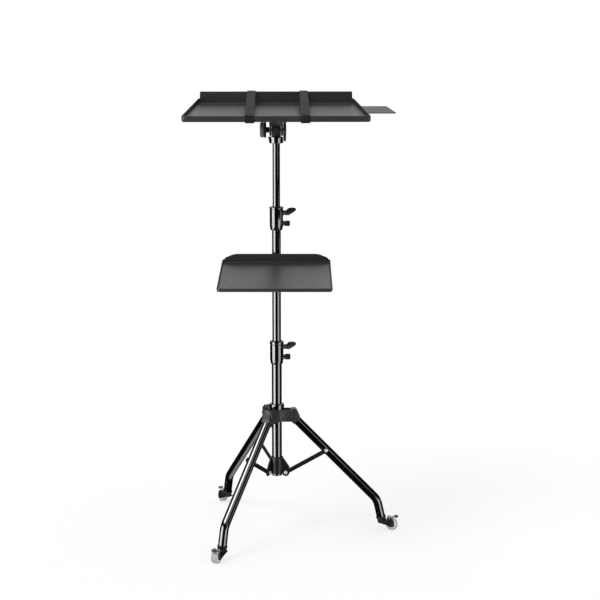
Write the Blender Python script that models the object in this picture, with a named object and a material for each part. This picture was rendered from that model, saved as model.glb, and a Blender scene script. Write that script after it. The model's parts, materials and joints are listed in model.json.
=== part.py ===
# A rolling projector stand: a two-section mast on a folding tripod with three braked casters,
# a swivelling and tilting top tray with straps and a sliding mouse plate, and a lower tray.
import math

import bmesh
import bpy
from mathutils import Matrix, Vector

# Units
MM = 0.001
DEG = math.pi / 180.0

# Fits, shared by every pair of pieces that touch
SLIDE_GAP = 0.3 * MM
SEAT_GAP = 0.3 * MM
OVERRUN = 1.0 * MM
PIN_RADIUS = 2.3 * MM
PIN_HOLE_RADIUS = PIN_RADIUS + SLIDE_GAP
PIN_HEAD_RADIUS = 3.8 * MM
PIN_HEAD_HEIGHT = 1.3 * MM

# Facets of round forms
ROUND_SIDES = 24
TUBE_SIDES = 20
PIN_SIDES = 12
ARC_STEPS = 2
SHARP_ANGLE = 35.0 * DEG

# Heights that the rest follows: the legs' pivots, the tilt axis and the mast between them
LEG_PIVOT_HEIGHT = 260.0 * MM
TILT_HEIGHT = 884.0 * MM
MAST_SPAN = TILT_HEIGHT - LEG_PIVOT_HEIGHT
LOWER_TUBE_TOP_SHARE = 0.22756
MIDDLE_TUBE_BOTTOM_SHARE = 0.0032
MIDDLE_TUBE_TOP_SHARE = 0.6891
UPPER_TUBE_BOTTOM_SHARE = 0.35256
LINER_BOTTOM_SHARE = 0.4936
BRACE_FOOT_DROP = 125.4 * MM
BRACE_FOOT_HEIGHT = LEG_PIVOT_HEIGHT - BRACE_FOOT_DROP

# Mast tubes
TUBE_WALL = 1.2 * MM
LOWER_TUBE_RADIUS = 11.0 * MM
LOWER_TUBE_FOOT = 8.6 * MM
LOWER_TUBE_BOTTOM = BRACE_FOOT_HEIGHT - LOWER_TUBE_FOOT
LOWER_TUBE_TOP = LEG_PIVOT_HEIGHT + MAST_SPAN * LOWER_TUBE_TOP_SHARE
MIDDLE_TUBE_RADIUS = LOWER_TUBE_RADIUS - TUBE_WALL - SLIDE_GAP
MIDDLE_TUBE_BOTTOM = LEG_PIVOT_HEIGHT + MAST_SPAN * MIDDLE_TUBE_BOTTOM_SHARE
MIDDLE_TUBE_TOP = LEG_PIVOT_HEIGHT + MAST_SPAN * MIDDLE_TUBE_TOP_SHARE
UPPER_TUBE_RADIUS = MIDDLE_TUBE_RADIUS - TUBE_WALL - SLIDE_GAP
UPPER_TUBE_BOTTOM = LEG_PIVOT_HEIGHT + MAST_SPAN * UPPER_TUBE_BOTTOM_SHARE
UPPER_TUBE_DROP = 18.0 * MM
UPPER_TUBE_TOP = TILT_HEIGHT - UPPER_TUBE_DROP

# Clamp collars, placed from the top of the tube that each one sits on
LOWER_COLLAR_RADIUS = 14.6 * MM
LOWER_COLLAR_DROP = 25.5 * MM
LOWER_COLLAR_RISE = 25.0 * MM
LOWER_LEVER_RISE = 12.4 * MM
LOWER_SCREW_DROP = 10.0 * MM
UPPER_COLLAR_RADIUS = 14.5 * MM
UPPER_COLLAR_DROP = 20.0 * MM
UPPER_COLLAR_RISE = 30.0 * MM
UPPER_LEVER_RISE = 17.0 * MM
UPPER_SCREW_DROP = 6.0 * MM
COLLAR_RIM = 0.7 * MM
COLLAR_RIM_HEIGHT = 4.0 * MM
COLLAR_TAPER = 1.4 * MM
COLLAR_TAPER_HEIGHT = 8.0 * MM
COLLAR_BOSS_RADIUS = 5.5 * MM
COLLAR_BOSS_REACH = 3.0 * MM
BOSS_BITE = 1.2 * MM

# Clamp levers and the small screw knobs under them
LEVER_HUB_RADIUS = 5.5 * MM
LEVER_HUB_LENGTH = 10.2 * MM
LEVER_TURN = 48.0 * DEG
LEVER_WING_REACH = 23.7 * MM
LEVER_WING_RISE = 14.5 * MM
LEVER_WING_WIDTHS = (4.8 * MM, 7.6 * MM, 7.6 * MM, 6.2 * MM, 3.8 * MM)
LEVER_WING_DEPTHS = (3.8 * MM, 3.0 * MM, 2.5 * MM, 2.2 * MM, 1.4 * MM)
WING_PATH_SHARES = (0.26, 0.44, 0.64, 0.88, 1.0)
WING_RISE_SHARES = (0.1, 0.36, 0.64, 0.9, 1.0)
SCREW_KNOB_RADIUS = 6.0 * MM
SCREW_KNOB_LENGTH = 11.4 * MM
KNOB_EDGE = 1.2 * MM
KNOB_FLUTES = 8
KNOB_FLUTE_DEPTH = 0.5 * MM

# Leg hub that slides on the lower tube
HUB_RADIUS = 15.0 * MM
HUB_EAR_DROP = 11.0 * MM
HUB_EAR_RISE = 15.2 * MM
HUB_BOTTOM = LEG_PIVOT_HEIGHT - HUB_EAR_DROP
HUB_TOP = LEG_PIVOT_HEIGHT + HUB_EAR_RISE
HUB_EAR_START = 7.6 * MM
HUB_EAR_END = 42.5 * MM
HUB_EAR_GAP = 9.9 * MM
HUB_EAR_THICKNESS = 2.5 * MM
HUB_EAR_CORNER = 3.0 * MM
HUB_CAP_RADIUS = 16.2 * MM
HUB_CAP_FOOT_RADIUS = 15.4 * MM
HUB_CAP_HEIGHT = 12.6 * MM
HUB_CAP_EDGE = 1.4 * MM

# Legs, measured from the pivot along the leg and at right angles to it
LEG_AZIMUTHS = (0.0 * DEG, -120.0 * DEG, 120.0 * DEG)
LEG_PIVOT_RADIUS = 34.0 * MM
LEG_SPLAY = 44.35 * DEG
LEG_FOOT_SPLAY = 13.0 * DEG
LEG_TUBE_RADIUS = 9.5 * MM
LEG_TUBE_START = 15.5 * MM
LEG_END_HEIGHT = 31.2 * MM
LEG_FOOT_LENGTH = 39.0 * MM
LEG_BEND_HEIGHT = LEG_END_HEIGHT + LEG_FOOT_LENGTH * math.cos(LEG_FOOT_SPLAY)
LEG_BEND_AT = (LEG_PIVOT_HEIGHT - LEG_BEND_HEIGHT) / math.cos(LEG_SPLAY)
LEG_BEND_RADIUS = 40.0 * MM
LEG_BEND_STEPS = 4
LEG_PLUG_RADIUS = LEG_TUBE_RADIUS - TUBE_WALL - SLIDE_GAP
LEG_BLOCK_HALF_WIDTH = HUB_EAR_GAP - SLIDE_GAP
LEG_BLOCK_PLUG_END = 34.0 * MM
LEG_BLOCK_CORNER = 3.0 * MM
LEG_BLOCK_OUTLINE = (
    (15.2 * MM, -9.5 * MM),
    (-1.0 * MM, -9.5 * MM),
    (-8.5 * MM, -7.0 * MM),
    (-12.0 * MM, -1.0 * MM),
    (-13.6 * MM, 5.0 * MM),
    (-13.0 * MM, 13.0 * MM),
    (-7.3 * MM, 17.6 * MM),
    (3.2 * MM, 14.6 * MM),
    (15.2 * MM, 9.5 * MM),
)

# Braces between the bracket at the mast's foot and the legs
BRACE_FOOT_RADIUS = 19.0 * MM
BRACE_ON_LEG = 105.9 * MM
BRACE_HALF_WIDTH = 4.7 * MM
BRACE_THICKNESS = 2.5 * MM
BRACE_EYE_RADIUS = 8.3 * MM
BRACE_TIP_RADIUS = 5.2 * MM
BRACE_SIDE = -(LEG_TUBE_RADIUS + 0.4 * MM)
EYE_STEPS = 6

# Bracket at the foot of the mast, with its heights from the braces' pins
BRACKET_RADIUS = 13.8 * MM
BRACKET_DROP = 3.6 * MM
BRACKET_RISE = 33.4 * MM
BRACKET_BOTTOM = BRACE_FOOT_HEIGHT - BRACKET_DROP
BRACKET_TOP = BRACE_FOOT_HEIGHT + BRACKET_RISE
FIN_THICKNESS = 3.0 * MM
FIN_INNER = 10.6 * MM
FIN_OUTLINE = (
    (FIN_INNER, -3.1 * MM),
    (15.5 * MM, -5.2 * MM),
    (23.5 * MM, -5.2 * MM),
    (27.4 * MM, 0.2 * MM),
    (27.4 * MM, 11.9 * MM),
    (25.8 * MM, 15.2 * MM),
    (13.6 * MM, 33.0 * MM),
    (FIN_INNER, 33.0 * MM),
)
FIN_CORNER = 1.2 * MM

# Casters: heights from the ground, distances outward from the swivel axis
SOCKET_BOTTOM = 21.5 * MM
SOCKET_RADIUS = 9.5 * MM
SOCKET_FLANGE_RADIUS = 11.0 * MM
SOCKET_FLANGE_HEIGHT = 3.0 * MM
SOCKET_PLUG_LENGTH = 12.0 * MM
KINGPIN_RADIUS = 3.0 * MM
KINGPIN_TOP = 34.2 * MM
FORK_HALF_WIDTH = 9.6 * MM
FORK_SLOT_HALF_WIDTH = 7.2 * MM
FORK_DISC_RADIUS = 9.2 * MM
FORK_DISC_BOTTOM = 17.0 * MM
FORK_OUTLINE = (
    (-8.5 * MM, 20.4 * MM),
    (-8.5 * MM, 18.0 * MM),
    (8.0 * MM, 12.6 * MM),
    (18.6 * MM, 7.2 * MM),
    (25.0 * MM, 7.2 * MM),
    (27.4 * MM, 11.0 * MM),
    (26.2 * MM, 19.5 * MM),
    (23.5 * MM, 25.6 * MM),
    (19.6 * MM, 28.8 * MM),
    (14.0 * MM, 28.8 * MM),
    (11.4 * MM, 20.4 * MM),
)
FORK_CORNER = 1.6 * MM
WHEEL_RADIUS = 12.5 * MM
WHEEL_HALF_WIDTH = 6.7 * MM
WHEEL_EDGE = 1.3 * MM
CASTER_TRAIL = 22.5 * MM
WHEEL_CLEARANCE = 0.8 * MM
AXLE_RADIUS = 2.0 * MM
AXLE_HOLE_RADIUS = AXLE_RADIUS + SLIDE_GAP
AXLE_HEAD_RADIUS = 3.4 * MM
AXLE_HEAD_HEIGHT = 1.1 * MM
BRAKE_PIVOT = (16.6 * MM, 26.3 * MM)
BRAKE_BARREL_RADIUS = 2.0 * MM
BRAKE_STUB_RADIUS = 1.2 * MM
BRAKE_STUB_REACH = 1.7 * MM
BRAKE_ARM_HALF_WIDTH = 3.6 * MM
BRAKE_ARM_OUTLINE = (
    (-0.4 * MM, 0.5 * MM),
    (4.0 * MM, 0.7 * MM),
    (12.4 * MM, 2.2 * MM),
    (12.4 * MM, 4.4 * MM),
    (4.0 * MM, 2.6 * MM),
    (-0.4 * MM, 1.7 * MM),
)
BRAKE_PAD_CENTRE = (15.2 * MM, 3.4 * MM)
BRAKE_PAD_LENGTH = 4.8 * MM
BRAKE_PAD_HEIGHT = 3.1 * MM
BRAKE_PAD_HALF_WIDTH = 5.0 * MM

# Tilting head
HEAD_BASE_DROP = 28.0 * MM
HEAD_BASE_HEIGHT = 14.0 * MM
HEAD_BASE_BOTTOM = TILT_HEIGHT - HEAD_BASE_DROP
HEAD_BASE_TOP = HEAD_BASE_BOTTOM + HEAD_BASE_HEIGHT
HEAD_BASE_RADIUS = 16.8 * MM
HEAD_BASE_FOOT_RADIUS = 15.2 * MM
YOKE_INNER = 10.1 * MM
YOKE_OUTER = 14.6 * MM
YOKE_RADIUS = 12.5 * MM
YOKE_ROOT = 11.7 * MM
YOKE_SHOULDER = 6.2 * MM
YOKE_STEP_AT = -4.0 * MM
TONGUE_HALF_LENGTH = YOKE_INNER - SLIDE_GAP
TONGUE_FOOT_HALF_WIDTH = 9.0 * MM
TONGUE_RADIUS = 8.4 * MM
TONGUE_BITE = 3.0 * MM
BOLT_RADIUS = 3.0 * MM
BOLT_HOLE_RADIUS = BOLT_RADIUS + SLIDE_GAP
KNOB_RADIUS = 16.8 * MM
KNOB_OUTER = -34.6 * MM
KNOB_INNER = -21.0 * MM
KNOB_NECK_RADIUS = 6.0 * MM
TILT_WHEEL_RADIUS = 25.0 * MM
TILT_WHEEL_THICKNESS = 6.6 * MM
TILT_WHEEL_LOBES = 8
TILT_WHEEL_LOBE_DEPTH = 1.3 * MM
TILT_WHEEL_BORE_DEPTH = 4.5 * MM

# Upper tray, in a frame on the tilt axis that leans with it
UPPER_TRAY_LEAN = 3.27 * DEG
UPPER_TRAY_UNDERSIDE = 36.0 * MM
UPPER_TRAY_DEPTH = 300.0 * MM
UPPER_TRAY_FRONT_WIDTH = 386.0 * MM
UPPER_TRAY_TAPER = 44.0 * MM
UPPER_TRAY_BACK_WIDTH = UPPER_TRAY_FRONT_WIDTH - UPPER_TRAY_TAPER
UPPER_TRAY_LIP = 13.0 * MM
UPPER_TRAY_BACK_WALL = 28.0 * MM
UPPER_TRAY_BACK_CHAMFER = 4.0 * MM
TRAY_SHEET = 1.5 * MM
TRAY_FRONT_CORNER = 7.0 * MM
TRAY_BACK_CORNER = 3.0 * MM
FLANGE_HALF_SIDE = 38.0 * MM
FLANGE_THICKNESS = 4.0 * MM
FLANGE_CORNER = 6.0 * MM

# Straps round the upper tray
STRAP_LEFT_AT = -54.0 * MM
STRAP_RIGHT_AT = 60.0 * MM
STRAP_WIDTH = 19.0 * MM
STRAP_THICKNESS = 1.5 * MM
STRAP_CLEARANCE = 0.4 * MM

# Mouse plate and its two rails
MOUSE_PLATE_OVERHANG = 64.0 * MM
MOUSE_PLATE_WIDTH = 140.0 * MM
MOUSE_PLATE_RIGHT = UPPER_TRAY_FRONT_WIDTH / 2.0 + MOUSE_PLATE_OVERHANG
MOUSE_PLATE_LEFT = MOUSE_PLATE_RIGHT - MOUSE_PLATE_WIDTH
MOUSE_PLATE_TAPER = 14.0 * MM
MOUSE_PLATE_FRONT = 32.0 * MM
MOUSE_PLATE_BACK = 146.0 * MM
MOUSE_PLATE_THICKNESS = 2.0 * MM
MOUSE_PLATE_DROP = 4.0 * MM
MOUSE_PLATE_CORNER = 5.0 * MM
RAIL_INSET = 26.0 * MM
RAIL_LENGTH = 75.0 * MM
RAIL_RIGHT = UPPER_TRAY_FRONT_WIDTH / 2.0 - RAIL_INSET
RAIL_LEFT = RAIL_RIGHT - RAIL_LENGTH
RAIL_WALL = 2.0 * MM
RAIL_LIP = 6.0 * MM

# Lower tray, in a frame at the middle of its back edge that leans with it
LINER_BOTTOM = LEG_PIVOT_HEIGHT + MAST_SPAN * LINER_BOTTOM_SHARE
LOWER_TRAY_LEAN = 3.5 * DEG
LOWER_TRAY_TURN = -0.8 * DEG
LOWER_TRAY_BACK_AT = -22.0 * MM
LOWER_TRAY_RISE = 33.4 * MM
LOWER_TRAY_UNDERSIDE = LINER_BOTTOM + LOWER_TRAY_RISE
LOWER_TRAY_WIDTH = 231.0 * MM
LOWER_TRAY_DEPTH = 268.0 * MM
LOWER_TRAY_LIP = 8.0 * MM
LOWER_TRAY_BACK_WALL = 20.5 * MM
LOWER_TRAY_BACK_CHAMFER = 26.0 * MM

# Clamp and swivel bracket that carry the lower tray
LINER_RADIUS = 11.5 * MM
LINER_FLANGE_RADIUS = 14.0 * MM
LINER_HEIGHT = 40.0 * MM
LINER_TOP = LINER_BOTTOM + LINER_HEIGHT
LINER_FLANGE_HEIGHT = 3.5 * MM
BRACKET_RING_RADIUS = 15.5 * MM
BRACKET_RING_HEIGHT = 26.0 * MM
BRACKET_PLATE_HALF_WIDTH = 30.0 * MM
BRACKET_PLATE_DEPTH = 110.0 * MM
BRACKET_PLATE_THICKNESS = 3.0 * MM
BRACKET_NECK_HALF_WIDTH = 10.0 * MM
BRACKET_NECK_HEIGHT = 18.0 * MM
BRACKET_NECK_REACH = 42.0 * MM
CLAMP_KNOB_RADIUS = 10.0 * MM
CLAMP_KNOB_LENGTH = 12.0 * MM

# Finishes: colour, roughness, metallic
GLOSS_BLACK = ((0.012, 0.012, 0.013), 0.16, 0.35)
SATIN_BLACK = ((0.022, 0.022, 0.024), 0.42, 0.0)
DARK_CASTING = ((0.045, 0.045, 0.048), 0.48, 0.2)
TRAY_GREY = ((0.115, 0.115, 0.12), 0.5, 0.1)
CHROME = ((0.72, 0.72, 0.73), 0.16, 1.0)
SATIN_STEEL = ((0.34, 0.34, 0.35), 0.35, 0.9)
WEBBING = ((0.018, 0.018, 0.019), 0.85, 0.0)
PALE_WHEEL = ((0.56, 0.58, 0.58), 0.35, 0.0)
PEDAL_GREY = ((0.3, 0.3, 0.31), 0.5, 0.0)

# Which way a turned or extruded form points
TURNS = {
    "X": Matrix.Rotation(90.0 * DEG, 4, "Y"),
    "Y": Matrix.Rotation(-90.0 * DEG, 4, "X"),
    "Z": Matrix.Identity(4),
}


# Solids from rows of points
def solid(name, rings, loop):
    shape = bmesh.new()
    rows = [[shape.verts.new(point) for point in ring] for ring in rings]
    pairs = list(zip(rows, rows[1:]))
    if loop:
        pairs.append((rows[-1], rows[0]))
    for low, high in pairs:
        for index, corner in enumerate(low):
            following = (index + 1) % len(low)
            shape.faces.new((corner, low[following], high[following], high[index]))
    if not loop:
        shape.faces.new(list(reversed(rows[0])))
        shape.faces.new(rows[-1])
    bmesh.ops.recalc_face_normals(shape, faces=shape.faces)
    mesh = bpy.data.meshes.new(name)
    shape.to_mesh(mesh)
    shape.free()
    item = bpy.data.objects.new(name, mesh)
    bpy.context.collection.objects.link(item)
    return item


def turned(name, profile, sides=ROUND_SIDES, loop=True, axis="Z", lobes=0, lobe_depth=0.0):
    rings = []
    for radius, height, lobe_share in (tuple(row) + (0.0,) * (3 - len(row)) for row in profile):
        ring = []
        for side in range(sides):
            angle = math.tau * side / sides
            hollow = lobe_share * lobe_depth * (1.0 - math.cos(lobes * angle)) / 2.0
            reach = radius - hollow
            point = Vector((reach * math.cos(angle), reach * math.sin(angle), height))
            ring.append(TURNS[axis] @ point)
        rings.append(ring)
    return solid(name, rings, loop)


def pin(name, radius, low, high, axis, at=(0.0, 0.0, 0.0), sides=PIN_SIDES):
    item = turned(name, ((radius, low), (radius, high)), sides, False, axis)
    item.data.transform(Matrix.Translation(at))
    return item


# An outline across Y or X, given as (outward, up) or (along, up), pushed along the third direction
def slab(name, outline, low, high, axis):
    def at(point, depth):
        if axis == "Y":
            return Vector((point[0], depth, point[1]))
        if axis == "X":
            return Vector((depth, point[0], point[1]))
        return Vector((point[0], point[1], depth))

    rings = [[at(point, depth) for point in outline] for depth in (low, high)]
    return solid(name, rings, False)


def block(name, low, high):
    outline = ((low[0], low[1]), (high[0], low[1]), (high[0], high[1]), (low[0], high[1]))
    return slab(name, outline, low[2], high[2], "Z")


# Corners eased by a curve that leaves and meets the two sides at the same distance
def eased(corners, distance, steps=ARC_STEPS):
    points = []
    for index, corner in enumerate(corners):
        here = Vector(corner)
        to_last = Vector(corners[index - 1]) - here
        to_next = Vector(corners[(index + 1) % len(corners)]) - here
        reach = min(distance, to_last.length / 2.0, to_next.length / 2.0)
        start = here + to_last.normalized() * reach
        end = here + to_next.normalized() * reach
        for step in range(steps + 1):
            share = step / steps
            points.append(start.lerp(here, share).lerp(here.lerp(end, share), share))
    return merged(points)


def merged(points):
    kept = []
    for point in points:
        if not kept or (point - kept[-1]).length > SEAT_GAP / 10.0:
            kept.append(point)
    if (kept[0] - kept[-1]).length <= SEAT_GAP / 10.0:
        kept.pop()
    return kept


# A convex outline with round corners, moved inward by the inset; each point keeps its corner's number
def rounded(corners, radii, inset):
    points = []
    for index, (corner, radius) in enumerate(zip(corners, radii)):
        here = Vector(corner)
        before = (here - Vector(corners[index - 1])).normalized()
        after = (Vector(corners[(index + 1) % len(corners)]) - here).normalized()
        first = Vector((before.y, -before.x))
        last = Vector((after.y, -after.x))
        centre = here - (first + last) * radius / (1.0 + first.dot(last))
        corner_shares = (0.5,)
        if first.dot(last) < math.cos(SHARP_ANGLE):
            corner_shares = [step / ARC_STEPS for step in range(ARC_STEPS + 1)]
        for share in corner_shares:
            direction = first.lerp(last, share).normalized()
            points.append((index, centre + direction * (radius - inset)))
    return points


def arc(centre, radius, start, end, steps):
    angles = [start + (end - start) * step / steps for step in range(steps + 1)]
    return [
        (centre[0] + radius * math.cos(angle), centre[1] + radius * math.sin(angle))
        for angle in angles
    ]


# Booleans, applied so that copies can share the finished mesh
def combine(item, tool, operation):
    step = item.modifiers.new(operation, "BOOLEAN")
    step.operation = operation
    step.solver = "EXACT"
    step.object = tool
    view = bpy.context.evaluated_depsgraph_get()
    view.update()
    shape = bpy.data.meshes.new_from_object(item.evaluated_get(view))
    item.modifiers.clear()
    item.data = shape
    bpy.data.objects.remove(tool, do_unlink=True)
    return item


def joined(item, *tools):
    for tool in tools:
        combine(item, tool, "UNION")
    return item


def cut(item, *tools):
    for tool in tools:
        combine(item, tool, "DIFFERENCE")
    return item


# Materials, placing and copies
def material(name, finish):
    colour, roughness, metallic = finish
    surface = bpy.data.materials.new(name)
    surface.use_nodes = True
    shader = surface.node_tree.nodes["Principled BSDF"]
    shader.inputs["Base Color"].default_value = (*colour, 1.0)
    shader.inputs["Roughness"].default_value = roughness
    shader.inputs["Metallic"].default_value = metallic
    surface.diffuse_color = (*colour, 1.0)
    return surface


def frame(name, parent, location=(0.0, 0.0, 0.0), rotation=(0.0, 0.0, 0.0)):
    empty = bpy.data.objects.new(name, None)
    bpy.context.collection.objects.link(empty)
    place(empty, parent, location, rotation)
    return empty


def place(item, parent, location=(0.0, 0.0, 0.0), rotation=(0.0, 0.0, 0.0)):
    item.parent = parent
    item.location = location
    item.rotation_euler = rotation
    return item


def dress(item, surface):
    item.data.materials.clear()
    item.data.materials.append(surface)
    item.data.shade_smooth()
    item.data.set_sharp_from_angle(angle=SHARP_ANGLE)
    return item


def place_each(item, base, parents, location=(0.0, 0.0, 0.0), rotation=(0.0, 0.0, 0.0)):
    item.name = f"{base}_1"
    place(item, parents[0], location, rotation)
    for number, parent in enumerate(parents[1:], start=2):
        copy = bpy.data.objects.new(f"{base}_{number}", item.data)
        bpy.context.collection.objects.link(copy)
        place(copy, parent, location, rotation)


# Mast tubes and collars
def tube(name, radius, bottom, top, surface, parent):
    inner = radius - TUBE_WALL
    profile = ((inner, bottom), (radius, bottom), (radius, top), (inner, top))
    return place(dress(turned(name, profile), surface), parent)


def collar(name, radius, bottom, top, shelf, outer_tube, inner_tube, lever_at, screw_at):
    wide_bore = outer_tube + SLIDE_GAP
    close_bore = inner_tube + SLIDE_GAP
    profile = (
        (wide_bore, bottom),
        (wide_bore, shelf),
        (close_bore, shelf),
        (close_bore, top),
        (radius + COLLAR_RIM, top),
        (radius + COLLAR_RIM, top - COLLAR_RIM_HEIGHT),
        (radius, top - COLLAR_RIM_HEIGHT - COLLAR_RIM),
        (radius, bottom + COLLAR_TAPER_HEIGHT),
        (radius - COLLAR_TAPER, bottom),
    )
    item = turned(name, profile)
    face = radius + COLLAR_BOSS_REACH
    for height in (lever_at, screw_at):
        joined(item, pin("boss", COLLAR_BOSS_RADIUS, radius - BOSS_BITE, face, "X", (0.0, 0.0, height)))
    for height in (lever_at, screw_at):
        hole = pin("hole", PIN_HOLE_RADIUS, close_bore - OVERRUN, face + OVERRUN, "X", (0.0, 0.0, height))
        cut(item, hole)
    return item


def clamp_lever(name, face, clamped):
    start = face + SEAT_GAP
    end = start + LEVER_HUB_LENGTH
    profile = (
        (PIN_RADIUS, clamped + SEAT_GAP),
        (PIN_RADIUS, start),
        (LEVER_HUB_RADIUS, start),
        (LEVER_HUB_RADIUS, end - KNOB_EDGE),
        (LEVER_HUB_RADIUS - KNOB_EDGE, end),
    )
    item = turned(name, profile, TUBE_SIDES, False, "X")
    rings = []
    for along, rise, width, depth in zip(
        WING_PATH_SHARES, WING_RISE_SHARES, LEVER_WING_WIDTHS, LEVER_WING_DEPTHS
    ):
        centre = Vector((start + LEVER_WING_REACH * along, 0.0, LEVER_WING_RISE * rise))
        across = Vector((LEVER_WING_RISE, 0.0, -LEVER_WING_REACH)).normalized()
        ring = []
        for side in range(PIN_SIDES):
            angle = math.tau * side / PIN_SIDES
            sideways = Vector((0.0, width * math.cos(angle), 0.0))
            ring.append(centre + sideways - across * depth * math.sin(angle))
        rings.append(ring)
    return joined(item, solid("wing", rings, False))


def screw_knob(name, face, clamped, radius, length, axis):
    start = face + SEAT_GAP
    end = start + length
    profile = (
        (PIN_RADIUS, clamped + SEAT_GAP),
        (PIN_RADIUS, start),
        (radius - KNOB_EDGE, start),
        (radius, start + KNOB_EDGE, 1.0),
        (radius, end - KNOB_EDGE, 1.0),
        (radius - KNOB_EDGE, end),
    )
    return turned(name, profile, ROUND_SIDES, False, axis, KNOB_FLUTES, KNOB_FLUTE_DEPTH)


def collar_set(prefix, parent, casting, plastic, sizes):
    radius, bottom, top, shelf, outer_tube, inner_tube, lever_at, screw_at = sizes
    item = collar(f"{prefix}_collar", *sizes)
    place(dress(item, casting), parent)
    face = radius + COLLAR_BOSS_REACH
    lever = clamp_lever(f"{prefix}_collar_lever", face, inner_tube)
    place(dress(lever, plastic), parent, (0.0, 0.0, lever_at), (LEVER_TURN, 0.0, 0.0))
    screw = screw_knob(f"{prefix}_collar_screw", face, outer_tube, SCREW_KNOB_RADIUS, SCREW_KNOB_LENGTH, "X")
    place(dress(screw, plastic), parent, (0.0, 0.0, screw_at))


def build_mast(parent, gloss, casting, plastic):
    tube("lower_tube", LOWER_TUBE_RADIUS, LOWER_TUBE_BOTTOM, LOWER_TUBE_TOP, gloss, parent)
    tube("middle_tube", MIDDLE_TUBE_RADIUS, MIDDLE_TUBE_BOTTOM, MIDDLE_TUBE_TOP, gloss, parent)
    tube("upper_tube", UPPER_TUBE_RADIUS, UPPER_TUBE_BOTTOM, UPPER_TUBE_TOP, gloss, parent)
    lower = (
        LOWER_COLLAR_RADIUS,
        LOWER_TUBE_TOP - LOWER_COLLAR_DROP,
        LOWER_TUBE_TOP + LOWER_COLLAR_RISE,
        LOWER_TUBE_TOP + SEAT_GAP,
        LOWER_TUBE_RADIUS,
        MIDDLE_TUBE_RADIUS,
        LOWER_TUBE_TOP + LOWER_LEVER_RISE,
        LOWER_TUBE_TOP - LOWER_SCREW_DROP,
    )
    upper = (
        UPPER_COLLAR_RADIUS,
        MIDDLE_TUBE_TOP - UPPER_COLLAR_DROP,
        MIDDLE_TUBE_TOP + UPPER_COLLAR_RISE,
        MIDDLE_TUBE_TOP + SEAT_GAP,
        MIDDLE_TUBE_RADIUS,
        UPPER_TUBE_RADIUS,
        MIDDLE_TUBE_TOP + UPPER_LEVER_RISE,
        MIDDLE_TUBE_TOP - UPPER_SCREW_DROP,
    )
    collar_set("lower", parent, casting, plastic, lower)
    collar_set("upper", parent, casting, plastic, upper)


# Leg hub and its clamping cap
def leg_hub():
    bore = LOWER_TUBE_RADIUS + SLIDE_GAP
    profile = ((bore, HUB_BOTTOM), (HUB_RADIUS, HUB_BOTTOM), (HUB_RADIUS, HUB_TOP), (bore, HUB_TOP))
    item = turned("leg_hub", profile)
    corners = (
        (HUB_EAR_START, HUB_BOTTOM),
        (HUB_EAR_END, HUB_BOTTOM),
        (HUB_EAR_END, HUB_TOP),
        (HUB_EAR_START, HUB_TOP),
    )
    outline = eased(corners, HUB_EAR_CORNER)
    far = HUB_EAR_GAP + HUB_EAR_THICKNESS
    for azimuth in LEG_AZIMUTHS:
        turn = Matrix.Rotation(azimuth, 4, "Z")
        for low, high in ((-far, -HUB_EAR_GAP), (HUB_EAR_GAP, far)):
            ear = slab("ear", outline, low, high, "Y")
            ear.data.transform(turn)
            joined(item, ear)
    for azimuth in LEG_AZIMUTHS:
        at = (LEG_PIVOT_RADIUS, 0.0, LEG_PIVOT_HEIGHT)
        hole = pin("hole", PIN_HOLE_RADIUS, -far - OVERRUN, far + OVERRUN, "Y", at)
        hole.data.transform(Matrix.Rotation(azimuth, 4, "Z"))
        cut(item, hole)
    return item


def hub_cap():
    bore = LOWER_TUBE_RADIUS + SLIDE_GAP
    bottom = HUB_TOP + SEAT_GAP
    top = bottom + HUB_CAP_HEIGHT
    profile = (
        (bore, bottom),
        (HUB_CAP_FOOT_RADIUS, bottom),
        (HUB_CAP_RADIUS, top - HUB_CAP_EDGE),
        (HUB_CAP_RADIUS - HUB_CAP_EDGE, top),
        (bore, top),
    )
    return turned("hub_cap", profile)


# A pin with a head past each face that it holds
def headed_pin(name, radius, head_radius, head_height, low, high):
    profile = (
        (head_radius, low - head_height),
        (head_radius, low),
        (radius, low),
        (radius, high),
        (head_radius, high),
        (head_radius, high + head_height),
    )
    return turned(name, profile, PIN_SIDES, False, "Y")


def build_hub(parent, arms, casting, plastic):
    place(dress(leg_hub(), casting), parent)
    place(dress(hub_cap(), plastic), parent)
    reach = HUB_EAR_GAP + HUB_EAR_THICKNESS + SEAT_GAP
    item = headed_pin("leg_pivot_pin", PIN_RADIUS, PIN_HEAD_RADIUS, PIN_HEAD_HEIGHT, -reach, reach)
    at = (LEG_PIVOT_RADIUS, 0.0, LEG_PIVOT_HEIGHT)
    place_each(dress(item, casting), "leg_pivot_pin", arms, at)


# Legs: local X runs along the leg from the pivot, local Z is the leg's upper side
def leg_path():
    turn = LEG_SPLAY - LEG_FOOT_SPLAY
    tangent = LEG_BEND_RADIUS * math.tan(turn / 2.0)
    bend_start = LEG_BEND_AT - tangent
    path = [(Vector((LEG_TUBE_START, 0.0, 0.0)), 0.0)]
    for step in range(LEG_BEND_STEPS + 1):
        angle = turn * step / LEG_BEND_STEPS
        along = bend_start + LEG_BEND_RADIUS * math.sin(angle)
        drop = LEG_BEND_RADIUS * (1.0 - math.cos(angle))
        path.append((Vector((along, 0.0, -drop)), angle))
    foot = Vector((math.cos(turn), 0.0, -math.sin(turn)))
    end = Vector((LEG_BEND_AT, 0.0, 0.0)) + foot * LEG_FOOT_LENGTH
    path.append((end, turn))
    return path


def ring_across(centre, angle, radius, sides=TUBE_SIDES):
    up = Vector((math.sin(angle), 0.0, math.cos(angle)))
    side = Vector((0.0, 1.0, 0.0))
    ring = []
    for index in range(sides):
        turn = math.tau * index / sides
        ring.append(centre + up * radius * math.cos(turn) + side * radius * math.sin(turn))
    return ring


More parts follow.
